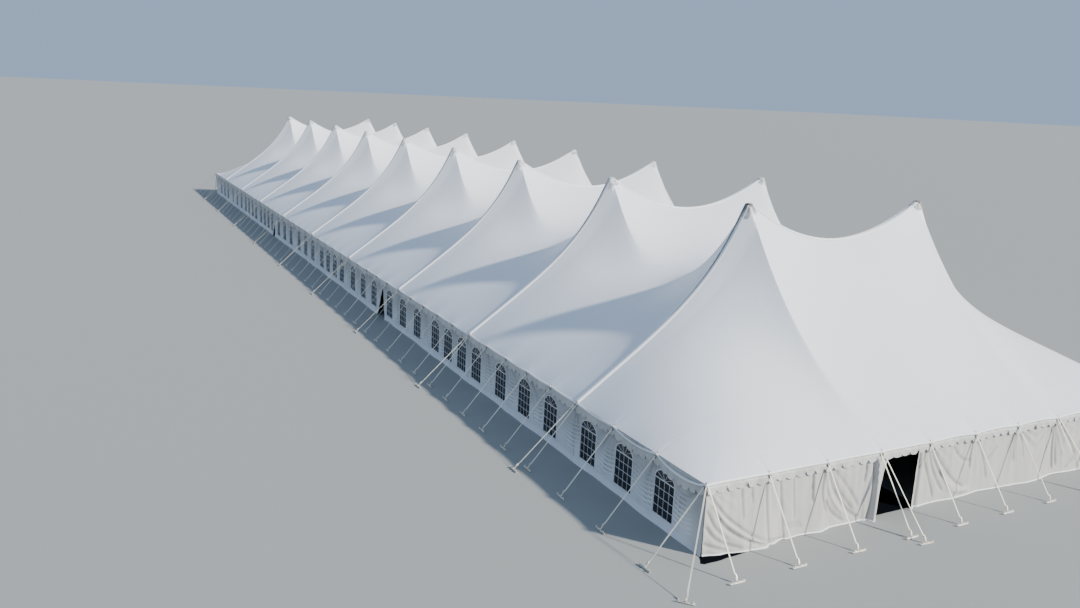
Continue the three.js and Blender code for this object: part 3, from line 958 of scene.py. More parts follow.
def valance(side, half):
    """Short strip that hangs from the roof's edge past the belt, down to rounded lobes with notches."""
    cells, drop_rows, lobe_rows = (8, 7, 7) if side in ("left", "right") else (10, 3, 9)
    lobes = int(round(2 * half / LOBE))
    rng = random.Random({"left": 3, "right": 4, "near": 5, "far": 6}[side])
    sways = [rng.uniform(0.3, 1.0) for _ in range(lobes + 2)]
    notches = [rng.choice((0.25, 0.7, 1.0, 1.3)) for _ in range(lobes + 2)]
    rows = []
    for i, along in enumerate(steps(lobes * cells, -half, half)):
        inset, z_top = eave_line(side, along)
        z_top -= VALANCE_START
        sag = belt_sag(side, along)
        phase = (i % cells) / cells
        curve = arch(phase)
        sway = sways[i // cells]
        gap = notches[i // cells + (phase > 0.5)] * bell(min(phase, 1 - phase), NOTCH_HALF)
        slack = min(1.0, sag / 0.012)
        row = []
        for v in steps(drop_rows):
            fold = 0.0042 * slack * math.sin(2 * math.pi * 2.8 * v + 0.8) * math.sin(math.pi * v)
            row.append(on_side(side, along, inset - 0.0008 - fold - 0.0016 * v, z_top - sag * v))
        depth = LOBE_DEPTH + LOBE_ROUND * curve - NOTCH_DEPTH * gap
        for v in steps(lobe_rows)[1:]:
            over_belt = 0.0052 * bell(v * depth - 0.008, 0.0042)
            out = 0.0024 + v * v * (0.003 * sway * curve + 0.001) + 0.6 * v * lobe_fold(along, v, sway, curve)
            out += 0.0045 * gap * v ** 3 - over_belt
            row.append(on_side(side, along, inset - out, z_top - sag - v * depth))
        rows.append(row)
    maker = Maker()
    maker.grid(rows)
    piece = fit(maker.piece(f"{side}_valance", VALANCE_CLOTH, 60), "roof_cloth")


# Side walls

# Block of wall about a window: its half width, its foot and head, and its cells
BLOCK_HALF = WINDOW_HALF * 1.1
BLOCK_LOW = WINDOW_MIDDLE - (WINDOW_MIDDLE - WINDOW_SILL) * 1.25
BLOCK_HIGH = 0.262
BLOCK_CELLS = (12, 48)
BAR_CELLS = (8, 18)
# Heights of the wall's points below and above the blocks
FOOT_LEVELS = [0.0, 0.0035, 0.012]
HEAD_LEVELS = [0.27, 0.2785, 0.287, WALL_TOP]
WALL_STEP = 0.011
WALL_SEEDS = {"left": 1.7, "right": 4.1}
# Sagging puckers of the side walls
PUCKER_DEPTH = 0.0065
PUCKER_PITCH = 0.0205
PUCKER_SAG = 0.017
# How far the creases under a pole reach, and the shape of a side wall's ones
FAN_REACH = 0.28
SIDE_FAN = {"count": 17, "depth": 0.0064, "length": 0.09}
# Depth at which a side wall's crease takes its full painted shade, and the painted shade beside each corner and
# where it begins
FULL_CREASE = 0.0024
CORNER_SHADE_AMOUNT = 0.46
CORNER_SHADE_START = 6.07


def block_rim(cells=BLOCK_CELLS):
    """Points round the block of wall about a window, from its middle, anticlockwise."""
    wide, tall = cells
    low = BLOCK_LOW - WINDOW_MIDDLE
    high = BLOCK_HIGH - WINDOW_MIDDLE
    across = steps(wide, -BLOCK_HALF, BLOCK_HALF)
    up = steps(tall, low, high)
    rim = [(u, low) for u in across]
    rim += [(BLOCK_HALF, v) for v in up[1:]]
    rim += [(u, high) for u in reversed(across[:-1])]
    rim += [(-BLOCK_HALF, v) for v in reversed(up[1:-1])]
    return rim


def outline_hit(u, v):
    """Where a line from the window's middle to a point crosses the window's edge."""
    sill = WINDOW_SILL - WINDOW_MIDDLE
    spring = WINDOW_SPRING - WINDOW_MIDDLE
    best = sill / v if v < 0 else math.inf
    if abs(u) > 1e-9:
        reach = WINDOW_HALF / abs(u)
        if sill - 1e-9 <= v * reach <= spring:
            best = min(best, reach)
    if v > 0:
        a = (u / WINDOW_HALF) ** 2 + (v / WINDOW_RISE) ** 2
        b = -2 * v * spring / WINDOW_RISE ** 2
        c = (spring / WINDOW_RISE) ** 2 - 1
        root = (-b + math.sqrt(max(0.0, b * b - 4 * a * c))) / (2 * a)
        if v * root >= spring:
            best = root
    return u * best, v * best


def window_gap(along):
    """Places of the window edges on both sides of a point of the wall, and of the nearest window's middle."""
    before = [centre for centre in WINDOW_CENTRES if centre <= along]
    after = [centre for centre in WINDOW_CENTRES if centre > along]
    left = before[-1] if before else -HALF_LENGTH
    right = after[0] if after else HALF_LENGTH
    return left + WINDOW_HALF, right - WINDOW_HALF, left if along - left < right - along else right


def beyond_window(along, z, centre):
    """Distance outwards from the edge of a window."""
    aside = abs(along - centre)
    if z > WINDOW_SPRING:
        return (math.hypot(aside / WINDOW_HALF, (z - WINDOW_SPRING) / WINDOW_RISE) - 1) * WINDOW_RISE
    if z < WINDOW_SILL:
        return math.hypot(max(0.0, aside - WINDOW_HALF), WINDOW_SILL - z)
    return aside - WINDOW_HALF


def ridge(turn):
    """Sharp ridges and broad hollows between them, from -1 to 1."""
    return 1 - 2 * abs(math.sin(turn)) ** 0.7


def pole_fan(along, z, places, count, depth, length):
    """Creases that spread down from the top of the nearest side pole."""
    place = min(places, key=lambda other: abs(other - along))
    down = WALL_TOP - z
    reach = math.hypot(along - place, down)
    if reach > FAN_REACH:
        return 0.0
    angle = math.atan2(along - place, down + 0.002)
    uneven = 0.6 + 0.4 * math.sin(5.3 * angle + 31 * place)
    crease = depth * uneven * ridge(count * angle / 2 + 3.5 * place)
    return crease * math.exp(-reach / length) * smooth(reach / 0.03)


def wall_creases(along, z, seed):
    """How calm a side wall is beside a window, and its sagging puckers and the fans below its poles."""
    left, right, centre = window_gap(along)
    away = beyond_window(along, z, centre)
    calm = smooth(away / 0.016)
    across = 2 * (along - (left + right) / 2) / max(0.02, right - left)
    level = smooth((z - 0.045) / 0.03) * (1 - smooth((z - 0.16) / 0.07))
    uneven = 0.55 + 0.45 * math.sin(along * 37 + seed * 5 + z * 19)
    close = 0.35 + 0.65 * math.exp(-max(0.0, away) / 0.045)
    sagged = z + PUCKER_SAG * (1 - min(1.0, across * across)) + 0.004 * math.sin(along * 17 + seed)
    pucker = PUCKER_DEPTH * level * uneven * close * ridge(math.pi * sagged / PUCKER_PITCH + seed)
    return calm, calm * (pole_fan(along, z, SIDE_PLACES, **SIDE_FAN) - pucker)


def wall_fold(along, z, seed):
    """How far a side wall stands in from its plane: creases, sway, a spread foot and the door slits' curl."""
    calm, creases = wall_creases(along, z, seed)
    low = max(0.0, 1 - z / WALL_TOP)
    sway = low * (0.003 * math.sin(along * 9.7 + seed) + 0.0016 * math.sin(along * 23.1 + 2 * seed))
    foot = 0.0045 * max(0.0, 1 - z / 0.034) ** 1.5
    foot += 0.001 * low ** 3 * (1 + math.sin(along * 4.9 + seed * 3))
    return -(creases + (0.4 * calm + 0.6) * sway + foot + side_door_pull(along, z))


def note_creases(piece, depth_at):
    """Keeps how deep every point lies in a crease, for the darker colour painted there: painted shade, and dirt on
    the nearer peaks' skirts.
    """
    layer = piece.data.attributes.new("crease_depth", "FLOAT", "POINT")
    layer.data.foreach_set("value", [max(0.0, min(1.0, depth_at(point.co))) for point in piece.data.vertices])


def door_edge(door, z, way):
    """Edge of the cloth beside a side door at a height, or at a corner; way is -1 for the length before it."""
    if door is None:
        return -way * (HALF_LENGTH - WALL_INSET)
    place, width, top = door
    opened = max(0.0, 1 - z / top)
    return place - HALF_LENGTH + way * (width / 2 * opened ** 0.9 + 0.00015)


def side_door_pull(along, z):
    """Outward curl of the cloth's free edges at the side doors."""
    pull = 0.0
    for door in SIDE_DOORS:
        opened = max(0.0, 1 - z / door[2])
        for way in (-1, 1):
            away = abs(along - door_edge(door, z, way))
            if away < 0.1:
                ripple = 0.6 + 0.4 * math.cos(away * 190)
                pull = max(pull, 0.012 * opened * math.exp(-away / 0.03) * ripple)
    return pull


def wall_levels():
    """Heights of the wall's points: those of a block, between those of the wall's foot and head."""
    return FOOT_LEVELS + steps(BLOCK_CELLS[1], BLOCK_LOW, BLOCK_HIGH) + HEAD_LEVELS


def window_block(maker, point, side, centre):
    """Block of wall about a window: cloth below and above it, and rings that close in on the window's edge."""
    levels = wall_levels()
    low = len(FOOT_LEVELS)
    wide, tall = BLOCK_CELLS
    across = steps(wide, centre - BLOCK_HALF, centre + BLOCK_HALF)
    for part in (levels[:low + 1], levels[low + tall:]):
        maker.grid([[point(a, z) for z in part] for a in across])
    rings = []
    for share in (1.0, 0.62, 0.25, 0.0):
        ring = []
        for u, v in block_rim():
            edge_u, edge_v = outline_hit(u, v)
            ring.append(point(centre + blend(edge_u, u, share), WINDOW_MIDDLE + blend(edge_v, v, share)))
        rings.append(ring)
    turned_in = [on_side(side, spot.y, WALL_INSET + 0.003, spot.z) for spot in rings[-1]]
    maker.grid(rings + [turned_in], closed=True)


def side_wall(side):
    """Long wall with round-headed window holes, parted at its door slits."""
    maker = Maker()
    hem = Maker()
    seed = WALL_SEEDS[side]
    levels = wall_levels()

    def point(along, z):
        return on_side(side, along, WALL_INSET + wall_fold(along, z, seed), z)

    def stretch(left, right):
        """Wall between two edges, each of them a function of height."""
        count = max(2, int(round((right(0.1) - left(0.1)) / WALL_STEP)))
        maker.grid([[point(blend(left(z), right(z), share), z) for z in levels] for share in steps(count)])

    def upright(place):
        return lambda z: place

    def beside(door, way):
        return lambda z: door_edge(door, z, way)

    # Painted shade in the wall's creases and puckers, and over the last stretch beside each corner.
    def painted_wall_shade(spot):
        return (CORNER_SHADE_AMOUNT * smooth((abs(spot.y) - CORNER_SHADE_START) / 0.1)
                - wall_creases(spot.y, spot.z, seed)[1] / FULL_CREASE)

    doors = [None, *SIDE_DOORS, None]
    for start, end in zip(doors, doors[1:]):
        foot = (door_edge(start, 0.0, 1), door_edge(end, 0.0, -1))
        hem.tube([point(a, 0.0016) for a in steps(int((foot[1] - foot[0]) / 0.022), *foot)], 0.0019, 6)
        edge = beside(start, 1)
        for centre in [place for place in WINDOW_CENTRES if foot[0] < place < foot[1]]:
            stretch(edge, upright(centre - BLOCK_HALF))
            window_block(maker, point, side, centre)
            edge = upright(centre + BLOCK_HALF)
        stretch(edge, beside(end, -1))
    fit(hem.piece(f"{side}_wall_hem", HEM_CLOTH, 50), "side_wall_cloth")
    piece = maker.piece(f"{side}_wall_cloth", WALL_CLOTH, 60)
    weld(piece)
    note_creases(piece, painted_wall_shade)
    fit(piece, "side_wall_cloth", *[f"{side}_wall_{part}" for part in (1, 2, 3)])


def weld(piece, distance=0.00002):
    """Joins the points that neighbouring stretches share."""
    shape = bmesh.new()
    shape.from_mesh(piece.data)
    bmesh.ops.remove_doubles(shape, verts=shape.verts, dist=distance)
    bmesh.ops.recalc_face_normals(shape, faces=shape.faces)
    shape.to_mesh(piece.data)
    shape.free()
    piece.data.polygons.foreach_set("use_smooth", [True] * len(piece.data.polygons))
    piece.data.update()


# Window bars: widths of the uprights, the level bars, the fan's rays and the bar at the springing
UPRIGHT_BAR = 0.001
LEVEL_BAR = 0.0019
RAY_BAR = 0.0012
SPRING_BAR = 0.0044
BAR_THICK = 0.0022
FAN_HUB = 0.006
RAYS = 4
# Section of a window's frame, as places outwards from the window's edge and inwards from the wall
FRAME_PROFILE = ((-0.0022, 0.0016), (-0.0012, -0.0006), (0.0022, -0.0006), (0.0032, 0.0016))
PANE_DEPTH = 0.0024


def window_panes(side):
    """Shining sheet in every window of a side, painted dark as the shaded inside behind it."""
    maker = Maker()
    rng = random.Random(11 if side == "left" else 12)
    rim = [outline_hit(u, v) for u, v in block_rim(BAR_CELLS)]
    for centre in WINDOW_CENTRES:
        bulge = rng.uniform(-0.001, 0.0012)
        rings = []
        for share in (1.0, 0.5):
            inset = WALL_INSET + PANE_DEPTH - bulge * (1 - share)
            rings.append([on_side(side, centre + u * share, inset, WINDOW_MIDDLE + v * share) for u, v in rim])
        maker.cap(maker.grid(rings, closed=True) + len(rim), len(rim))
    piece = fit(maker.piece(f"{side}_window_panes", PANE_SHEET, 60), "window_sheet",
                *[f"{side}_window_sheet_{part}" for part in (1, 2, 3)])


def window_bars(side):
    """White bars: four panes by four, a heavier bar at the springing, a fan above it, and a frame."""
    maker = Maker()
    outward = outward_of(side)
    rim = [outline_hit(u, v) for u, v in block_rim(BAR_CELLS)]
    sill = WINDOW_SILL - WINDOW_MIDDLE
    spring = WINDOW_SPRING - WINDOW_MIDDLE

    def bar(centre, start, end, width):
        a, b = (on_side(side, centre + u, WALL_INSET + 0.0012, WINDOW_MIDDLE + v) for u, v in (start, end))
        along = (b - a).normalized()
        size = ((b - a).length, width, BAR_THICK)
        maker.block((a + b) / 2, (along, along.cross(outward), outward), size, 0.3)

    for centre in WINDOW_CENTRES:
        for k in (-1, 0, 1):
            aside = k * WINDOW_HALF / 2
            level = blend(sill, spring, (k + 2) / 4)
            bar(centre, (aside, sill), (aside, spring), UPRIGHT_BAR)
            bar(centre, (-WINDOW_HALF, level), (WINDOW_HALF, level), LEVEL_BAR)
        bar(centre, (-WINDOW_HALF, spring), (WINDOW_HALF, spring), SPRING_BAR)
        for k in range(1, RAYS + 1):
            angle = math.pi * k / (RAYS + 1)
            near = (FAN_HUB * math.cos(angle), spring + 0.7 * FAN_HUB * math.sin(angle))
            far = (WINDOW_HALF * math.cos(angle), spring + WINDOW_RISE * math.sin(angle))
            bar(centre, near, far, RAY_BAR)
        rows = []
        for grow, inset in FRAME_PROFILE:
            grown = [(u + u * grow / math.hypot(u, v), v + v * grow / math.hypot(u, v)) for u, v in rim]
            rows.append([on_side(side, centre + u, WALL_INSET + inset, WINDOW_MIDDLE + v) for u, v in grown])
        maker.grid(rows, closed=True)
    fit(maker.piece(f"{side}_window_bars", BAR_PAINT, 40), "side_wall_cloth")


# End walls

# Hem of an end wall: places along it, and how far it stands out there
END_HEM = [(-1.527, 0.002), (-1.52, 0.006), (-1.436, 0.02), (-1.34, 0.035), (-1.247, 0.046), (-1.198, 0.033),
           (-1.14, 0.021), (-1.052, 0.019), (-0.994, 0.024), (-0.939, 0.028), (-0.883, 0.017), (-0.874, 0.011),
           (-0.725, 0.011), (-0.69, 0.01), (-0.668, 0.02), (-0.643, 0.03), (-0.615, 0.033), (-0.571, 0.016),
           (-0.38, 0.012), (-0.358, 0.007), (-0.335, 0.01), (-0.25, 0.003), (-0.1, 0.012), (0.05, 0.006),
           (0.3, 0.014), (0.42, 0.028), (0.6, 0.01), (0.8, 0.018), (0.91, 0.008), (1.1, 0.03), (1.22, 0.012),
           (1.4, 0.02), (1.522, 0.003)]
HEM_RADIUS = 0.0032
# How far an end wall ends from the eave's corner, its points' spacing and its fullness
END_CLOTH_INSET = 0.0076
END_STEP = 0.004
END_SEEDS = {"near": 0.8, "far": 3.3}
# Drawn-back edges of the doorway: their slant, their shift at the ground and the width of cloth that follows
LEFT_CURTAIN = (0.255, -0.049, 0.1)
RIGHT_CURTAIN = (0.04, -0.012, 0.06)
SHALLOW_FOLD = 0.0055
DOOR_SCALLOP = 0.05
# Lift and depth of the near-black sheet inside each doorway, which is painted shade
SHADE_SHEET_LIFT = 0.0009
SHADE_SHEET_REACH = 0.264
# Ends of the near-black sheet of painted shade at the near wall's left corner, and how far it lies hidden under the
# wall
CORNER_SHEET_ENDS = (-1.526, -1.32)
CORNER_SHEET_TUCK = 0.02


# Folds of an end wall: depth, half width and places along the wall with heights; a negative depth is a trough
END_FOLDS = [
    (-0.0042, 0.0056, (-1.516, 0.259), (-1.471, 0.203), (-1.422, 0.149), (-1.372, 0.106), (-1.304, 0.058),
     (-1.227, 0.023), (-1.13, 0.004)),
    (0.0026, 0.01, (-1.505, 0.236), (-1.461, 0.171), (-1.411, 0.119), (-1.355, 0.078), (-1.288, 0.04),
     (-1.213, 0.014)),
    (-0.004, 0.0054, (-1.494, 0.214), (-1.451, 0.139), (-1.401, 0.088), (-1.339, 0.049), (-1.272, 0.021),
     (-1.2, 0.004)),
    (-0.0032, 0.0052, (-1.52, 0.2), (-1.479, 0.122), (-1.45, 0.09), (-1.401, 0.046)),
    (-0.0035, 0.006, (-1.52, 0.13), (-1.473, 0.068), (-1.408, 0.033), (-1.334, 0.01)),
    (-0.003, 0.006, (-1.52, 0.055), (-1.496, 0.039), (-1.405, 0.009)),
    (-0.0022, 0.006, (-1.355, 0.27), (-1.348, 0.2), (-1.341, 0.119)),
    (-0.002, 0.005, (-1.305, 0.27), (-1.295, 0.18)),
    (-0.0034, 0.006, (-1.23, 0.285), (-1.228, 0.213), (-1.22, 0.096), (-1.212, 0.0)),
    (-0.0028, 0.006, (-1.158, 0.275), (-1.14, 0.14), (-1.123, 0.0)),
    (-0.002, 0.005, (-1.088, 0.26), (-1.068, 0.067)),
    (-0.0045, 0.006, (-0.981, 0.262), (-0.978, 0.201), (-0.976, 0.13)),
    (-0.0016, 0.005, (-1.12, 0.043), (-1.065, 0.045), (-1.02, 0.038)),
    (-0.0016, 0.005, (-1.13, 0.058), (-1.07, 0.06), (-1.03, 0.053)),
    (-0.0032, 0.006, (-0.912, 0.275), (-0.924, 0.195), (-0.919, 0.134), (-0.889, 0.069)),
    (0.003, 0.007, (-0.905, 0.265), (-0.89, 0.18), (-0.85, 0.11), (-0.79, 0.045)),
    (-0.004, 0.007, (-0.902, 0.27), (-0.862, 0.18), (-0.814, 0.108), (-0.747, 0.043), (-0.69, 0.011)),
    (-0.003, 0.006, (-0.897, 0.272), (-0.842, 0.181), (-0.796, 0.121), (-0.726, 0.043)),
    (-0.0026, 0.006, (-0.89, 0.275), (-0.81, 0.2), (-0.75, 0.13), (-0.7, 0.06)),
    (-0.003, 0.006, (-0.904, 0.132), (-0.877, 0.087), (-0.835, 0.046), (-0.778, 0.011)),
    (-0.004, 0.0045, (-0.68, 0.27), (-0.675, 0.24), (-0.677, 0.2), (-0.684, 0.165)),
    (-0.0062, 0.006, (-0.636, 0.29), (-0.633, 0.15), (-0.66, 0.0)),
    (0.0115, 0.0095, (-0.62, 0.29), (-0.622, 0.15), (-0.641, 0.0)),
    (-0.0045, 0.0055, (-0.352, 0.285), (-0.347, 0.161), (-0.35, 0.074), (-0.352, 0.0)),
    (-0.003, 0.006, (-0.307, 0.27), (-0.318, 0.216), (-0.293, 0.153), (-0.253, 0.069), (-0.231, 0.012)),
    (-0.003, 0.006, (-0.3, 0.27), (-0.262, 0.17), (-0.218, 0.098), (-0.17, 0.038)),
    (-0.0032, 0.006, (-0.292, 0.275), (-0.243, 0.188), (-0.185, 0.11), (-0.146, 0.064), (-0.053, 0.027)),
    (-0.003, 0.006, (-0.286, 0.272), (-0.16, 0.132), (-0.101, 0.079), (-0.03, 0.04)),
    (0.006, 0.011, (-0.215, 0.178), (-0.159, 0.082), (-0.116, 0.049), (-0.064, 0.031), (0.01, 0.03)),
    (-0.0025, 0.006, (-0.14, 0.26), (-0.1, 0.21), (-0.05, 0.175), (0.0, 0.165)),
    (-0.003, 0.006, (0.0, 0.275), (-0.012, 0.2), (-0.008, 0.12)),
    (-0.0026, 0.006, (0.008, 0.272), (0.06, 0.2), (0.1, 0.12), (0.12, 0.05)),
    (-0.0024, 0.007, (0.175, 0.215), (0.128, 0.165), (0.096, 0.15)),
    (-0.0028, 0.006, (0.3, 0.275), (0.292, 0.2), (0.3, 0.11)),
    (-0.0024, 0.006, (0.309, 0.272), (0.35, 0.2), (0.372, 0.12)),
    (-0.004, 0.006, (0.588, 0.285), (0.59, 0.17), (0.601, 0.084), (0.616, 0.02)),
    (-0.0036, 0.006, (0.6, 0.285), (0.613, 0.167), (0.642, 0.03)),
    (-0.003, 0.005, (0.607, 0.283), (0.632, 0.2), (0.665, 0.12)),
    (-0.003, 0.006, (0.614, 0.28), (0.675, 0.214), (0.736, 0.149), (0.79, 0.07)),
    (0.0026, 0.007, (0.604, 0.26), (0.645, 0.17), (0.69, 0.09)),
]
# Folds that the other end of the wall has too
MIRRORED_FOLDS = (0, 1, 2, 3, 4, 5, 8, 9, 10, 14, 16, 17, 19)


def fold_lines():
    """The folds with their lines rounded into short pieces, and the box that each one fills."""
    given = END_FOLDS + [(fold[0], fold[1], *[(-x, z) for x, z in fold[2:]])
                         for fold in (END_FOLDS[k] for k in MIRRORED_FOLDS)]
    lines = []
    for depth, half, *points in given:
        ends = [points[0], *points, points[-1]]
        line = []
        for k in range(1, len(ends) - 2):
            before, first, second, after = ends[k - 1:k + 3]
            for s in steps(5)[:-1]:
                spot = []
                for b, f, n, a in zip(before, first, second, after):
                    bend = 2 * b - 5 * f + 4 * n - a + s * (3 * (f - n) + a - b)
                    spot.append(f + 0.5 * s * (n - b + s * bend))
                line.append(tuple(spot))
        line.append(points[-1])
        xs = [x for x, _ in line]
        zs = [z for _, z in line]
        reach = 2.6 * half
        box = (min(xs) - reach, max(xs) + reach, min(zs) - reach, max(zs) + reach)
        lines.append((depth, half, line, box))
    return lines


FOLD_LINES = fold_lines()


def drawn_folds(along, z):
    """Height of the drawn folds at a point of an end wall."""
    total = 0.0
    for depth, half, line, (left, right, low, high) in FOLD_LINES:
        if not (left < along < right and low < z < high):
            continue
        best = math.inf
        spot = 0.0
        last = len(line) - 1
        for k in range(last):
            (x0, z0), (x1, z1) = line[k], line[k + 1]
            run = (x1 - x0) ** 2 + (z1 - z0) ** 2
            share = max(0.0, min(1.0, ((along - x0) * (x1 - x0) + (z - z0) * (z1 - z0)) / run)) if run else 0.0
            gap = math.hypot(along - x0 - share * (x1 - x0), z - z0 - share * (z1 - z0))
            if gap < best:
                best = gap
                spot = (k + share) / last
        fade = smooth(spot / 0.12)
        if low > -0.01:
            fade *= smooth((1 - spot) / 0.15)
        strength = 1.8 if abs(depth) < SHALLOW_FOLD else 1.5
        total += strength * depth * fade * bell(best, half)
    return total


def end_creases(along, z):
    """Fans below the poles of an end wall, deeper towards its right, and its drawn folds."""
    depth = 0.003 + 0.0055 * smooth((along - 0.1) / 0.3)
    return pole_fan(along, z, END_PLACES, 24, depth, 0.12) + drawn_folds(along, z)


def end_fold(along, z, seed):
    """How far an end wall stands in from its plane: billowed hem, fine gathers at the top, and creases."""
    low = min(1.0, max(0.0, 1 - z / WALL_TOP))
    billow = curve_through(END_HEM, along) * low ** 1.4
    gathers = 0.0009 * math.sin(along * 118 + 3 * math.sin(along * 9 + seed)) * (0.35 + 0.65 * (1 - low))
    wide = 0.0012 * math.sin(along * 41 + 2.2 * math.sin(along * 5.3 + seed)) * (0.3 + 0.7 * low)
    return -(billow + gathers + wide + end_creases(along, z))


def hem_lift(along):
    """The hem rises a little off the ground between the points where it is pulled out."""
    return 0.0012 + 0.0035 * (0.5 + 0.5 * math.sin(along * 11.3 + 0.6)) ** 3


def curtain_shift(along, z):
    """How far the cloth beside the doorway is drawn aside at a height."""
    door_left, door_right, _ = END_DOOR
    on_left = along <= door_left
    slant, shift, width = LEFT_CURTAIN if on_left else RIGHT_CURTAIN
    away = door_left - along if on_left else along - door_right
    return (slant * z + shift) * smooth(1 - away / width)


def curtain_roll(along, v):
    """How far the doorway's right edge rolls outwards, v of the way up."""
    if along < END_DOOR[1]:
        return 0.0
    return 0.009 * bell(along - END_DOOR[1], 0.012) * (0.4 + 0.6 * v) * (1 if v < 0.93 else 0.3)


def end_wall(side):
    """Gathered cloth wall with a doorway whose edges hang as curtains."""
    maker = Maker()
    hem = Maker()
    door_left, door_right, door_top = END_DOOR
    half = HALF_WIDTH - END_CLOTH_INSET

    def point(along, z, out=0.0):
        return on_side(side, along, WALL_INSET + end_fold(along, z, END_SEEDS[side]) - out, z)

    for low, high in ((-half, door_left), (door_right, half)):
        rows = []
        for a in steps(int((high - low) / END_STEP), low, high):
            row = []
            for v in steps(42):
                z = blend(hem_lift(a), WALL_TOP, v)
                row.append(point(a + curtain_shift(a, z), z, curtain_roll(a, v)))
            rows.append(row)
        maker.grid(rows)
        hem.tube([row[0] for row in rows], HEM_RADIUS, 6)
    rows = []
    for a in steps(18, door_left, door_right):
        scallop = 0.004 * abs(math.sin((a - door_left) / DOOR_SCALLOP * math.pi))
        rows.append([point(a, blend(door_top - 0.006 + scallop, WALL_TOP, v)) for v in steps(4)])
    maker.grid(rows)
    piece = maker.piece(f"{side}_end_wall_cloth", END_CLOTH, 70)
    weld(piece)
    # Painted shade in the end wall's drawn folds and in the fans below its poles.
    note_creases(piece, lambda spot: -end_creases(spot.x, spot.z) / 0.005)
    fit(piece, "end_wall_cloth", f"{side}_end_wall")
    fit(hem.piece(f"{side}_end_wall_hem", HEM_CLOTH, 50), "end_wall_cloth")


def doorway_shade_sheet(side):
    """Near-black sheet that lies on the ground just inside the doorway and reaches under the wall beside it:
    painted shade of the tent's inside.
    """
    maker = Maker()
    door_left, door_right, _ = END_DOOR
    rows = []
    for a in steps(12, door_left - 0.15, door_right + 0.05):
        row = []
        for depth in steps(8, -0.004, SHADE_SHEET_REACH - 0.004):
            z = SHADE_SHEET_LIFT + 0.0004 * math.sin(a * 70 + depth * 40)
            row.append(on_side(side, a, WALL_INSET + depth, z))
        rows.append(row)
    maker.grid(rows)
    piece = fit(maker.piece(f"{side}_doorway_shade_sheet", PAINTED_SHADE_CLOTH, 60), "end_wall_cloth")


def corner_shade_sheet():
    """Near-black sheet that lies out from under the near wall at its left end: painted shade under the wall's foot.
    """
    maker = Maker()
    low, high = CORNER_SHEET_ENDS
    rows = []
    for s in steps(20):
        a = blend(low, high, s)
        out = curve_through(END_HEM, a) + 0.054 * (1 - s) ** 0.85 * smooth((s + 0.18) / 0.25)
        aside = 0.034 * (1 - s) ** 1.5
        row = []
        for v in steps(5):
            inset = WALL_INSET + blend(CORNER_SHEET_TUCK, -out, v)
            z = 0.0007 + 0.0005 * math.sin(a * 90 + 5 * v)
            row.append(on_side("near", a - aside * v ** 1.5, inset, z))
        rows.append(row)
    maker.grid(rows)
    piece = fit(maker.piece("near_corner_shade_sheet", PAINTED_SHADE_CLOTH, 60), "end_wall_cloth")


# Side poles, their rope and pins

# How far the poles stand in from the eave line, and where the outermost ones' rope ends before the corners
SIDE_POLE_INSET = 0.0129
SIDE_ROPE_END = 0.0076
END_POLE_INSET = 0.0106
END_ROPE_END = 0.0162
POLE_RADIUS = 0.003
POLE_TOP = 0.29
ROPE_RADIUS = 0.0022
PIN_INSET = 0.003
# Outline of a centre pole as heights and radii: foot plate, sleeve, and head plate from the pole's top
CENTRE_POLE_RADIUS = 0.008
POLE_FOOT = [(0.0, 0.029), (0.003, 0.0295), (0.004, 0.028), (0.0045, 0.011), (0.012, 0.0085),
             (0.014, CENTRE_POLE_RADIUS)]
POLE_SLEEVE = [(0.55, CENTRE_POLE_RADIUS), (0.552, 0.0094), (0.61, 0.0094), (0.612, CENTRE_POLE_RADIUS)]
POLE_HEAD = [(-0.02, CENTRE_POLE_RADIUS), (-0.008, 0.0085), (-0.006, 0.0135), (0.0, 0.0135)]
HEAD_GAP = 0.0053


def side_pole_set(side, places, half, inset, *nodes):
    """Round side poles with foot plates, the eave rope that they carry, and their top pins with a ring."""
    maker = Maker()
    pins = Maker()
    ring_axis = (on_side(side, 1, 0, 0) - on_side(side, 0, 0, 0)).normalized()
    for place in places:
        foot = on_side(side, max(-half + POLE_RADIUS, min(half - POLE_RADIUS, place)), inset, 0)
        maker.tube([foot + z * UP for z in (0.0012, 0.2, POLE_TOP)], POLE_RADIUS, 12)
        maker.tube([foot, foot + 0.0014 * UP], [0.0045, 0.004], 10)
        head = max(-half, min(half, place))
        top = on_side(side, head, PIN_INSET, EAVE - 0.004)
        pins.tube([top, top + 0.0125 * UP], [0.0016, 0.0013], 8)
        pins.tube([top + 0.0045 * UP, top + 0.0064 * UP], 0.004, 10)
        middle = on_side(side, head, -0.006, EAVE - 0.0135)
        pins.tube([middle + ring_axis * 0.0052 * math.cos(a) + 0.0062 * math.sin(a) * UP
                   for a in steps(12, 0.0, 2 * math.pi)], 0.0015, 6)
    rope = [on_side(side, a, inset, POLE_TOP - 0.0005 + 0.0006 * math.sin(a * 40))
            for a in steps(int(half / 0.03), -half, half)]
    maker.tube(rope, ROPE_RADIUS, 6)
    fit(maker.piece(f"{side}_pole_tubes", POLE_METAL, 40), "pole_alloy", *nodes)
    fit(pins.piece(f"{side}_pole_pins", PIN_STEEL, 40), "pole_alloy")


def centre_poles():
    """Tall tube poles on round foot plates, each with a joint sleeve and a head plate."""
    top = PEAK - HEAD_GAP
    outline = POLE_FOOT + POLE_SLEEVE + [(top + z, radius) for z, radius in POLE_HEAD]
    for number, y in enumerate(join_places(), start=1):
        for row, x in (("left", -POLE_ROW), ("right", POLE_ROW)):
            maker = Maker()
            maker.tube([Vector((x, y, z)) for z, _ in outline], [radius for _, radius in outline], 24)
            piece = maker.piece(f"{row}_pole_tube_{number}", POLE_METAL, 30)
            fit(piece, "pole_alloy", f"{row}_centre_pole_{number}")


# Guys

STRAP_HALF = 0.0026
STRAP_THICK = 0.0005
# Share of the way down a strap where its ratchet sits
RATCHET_PLACE = 0.945
BAR_FOOT = 0.0032
STAKE_SPACING = 0.027


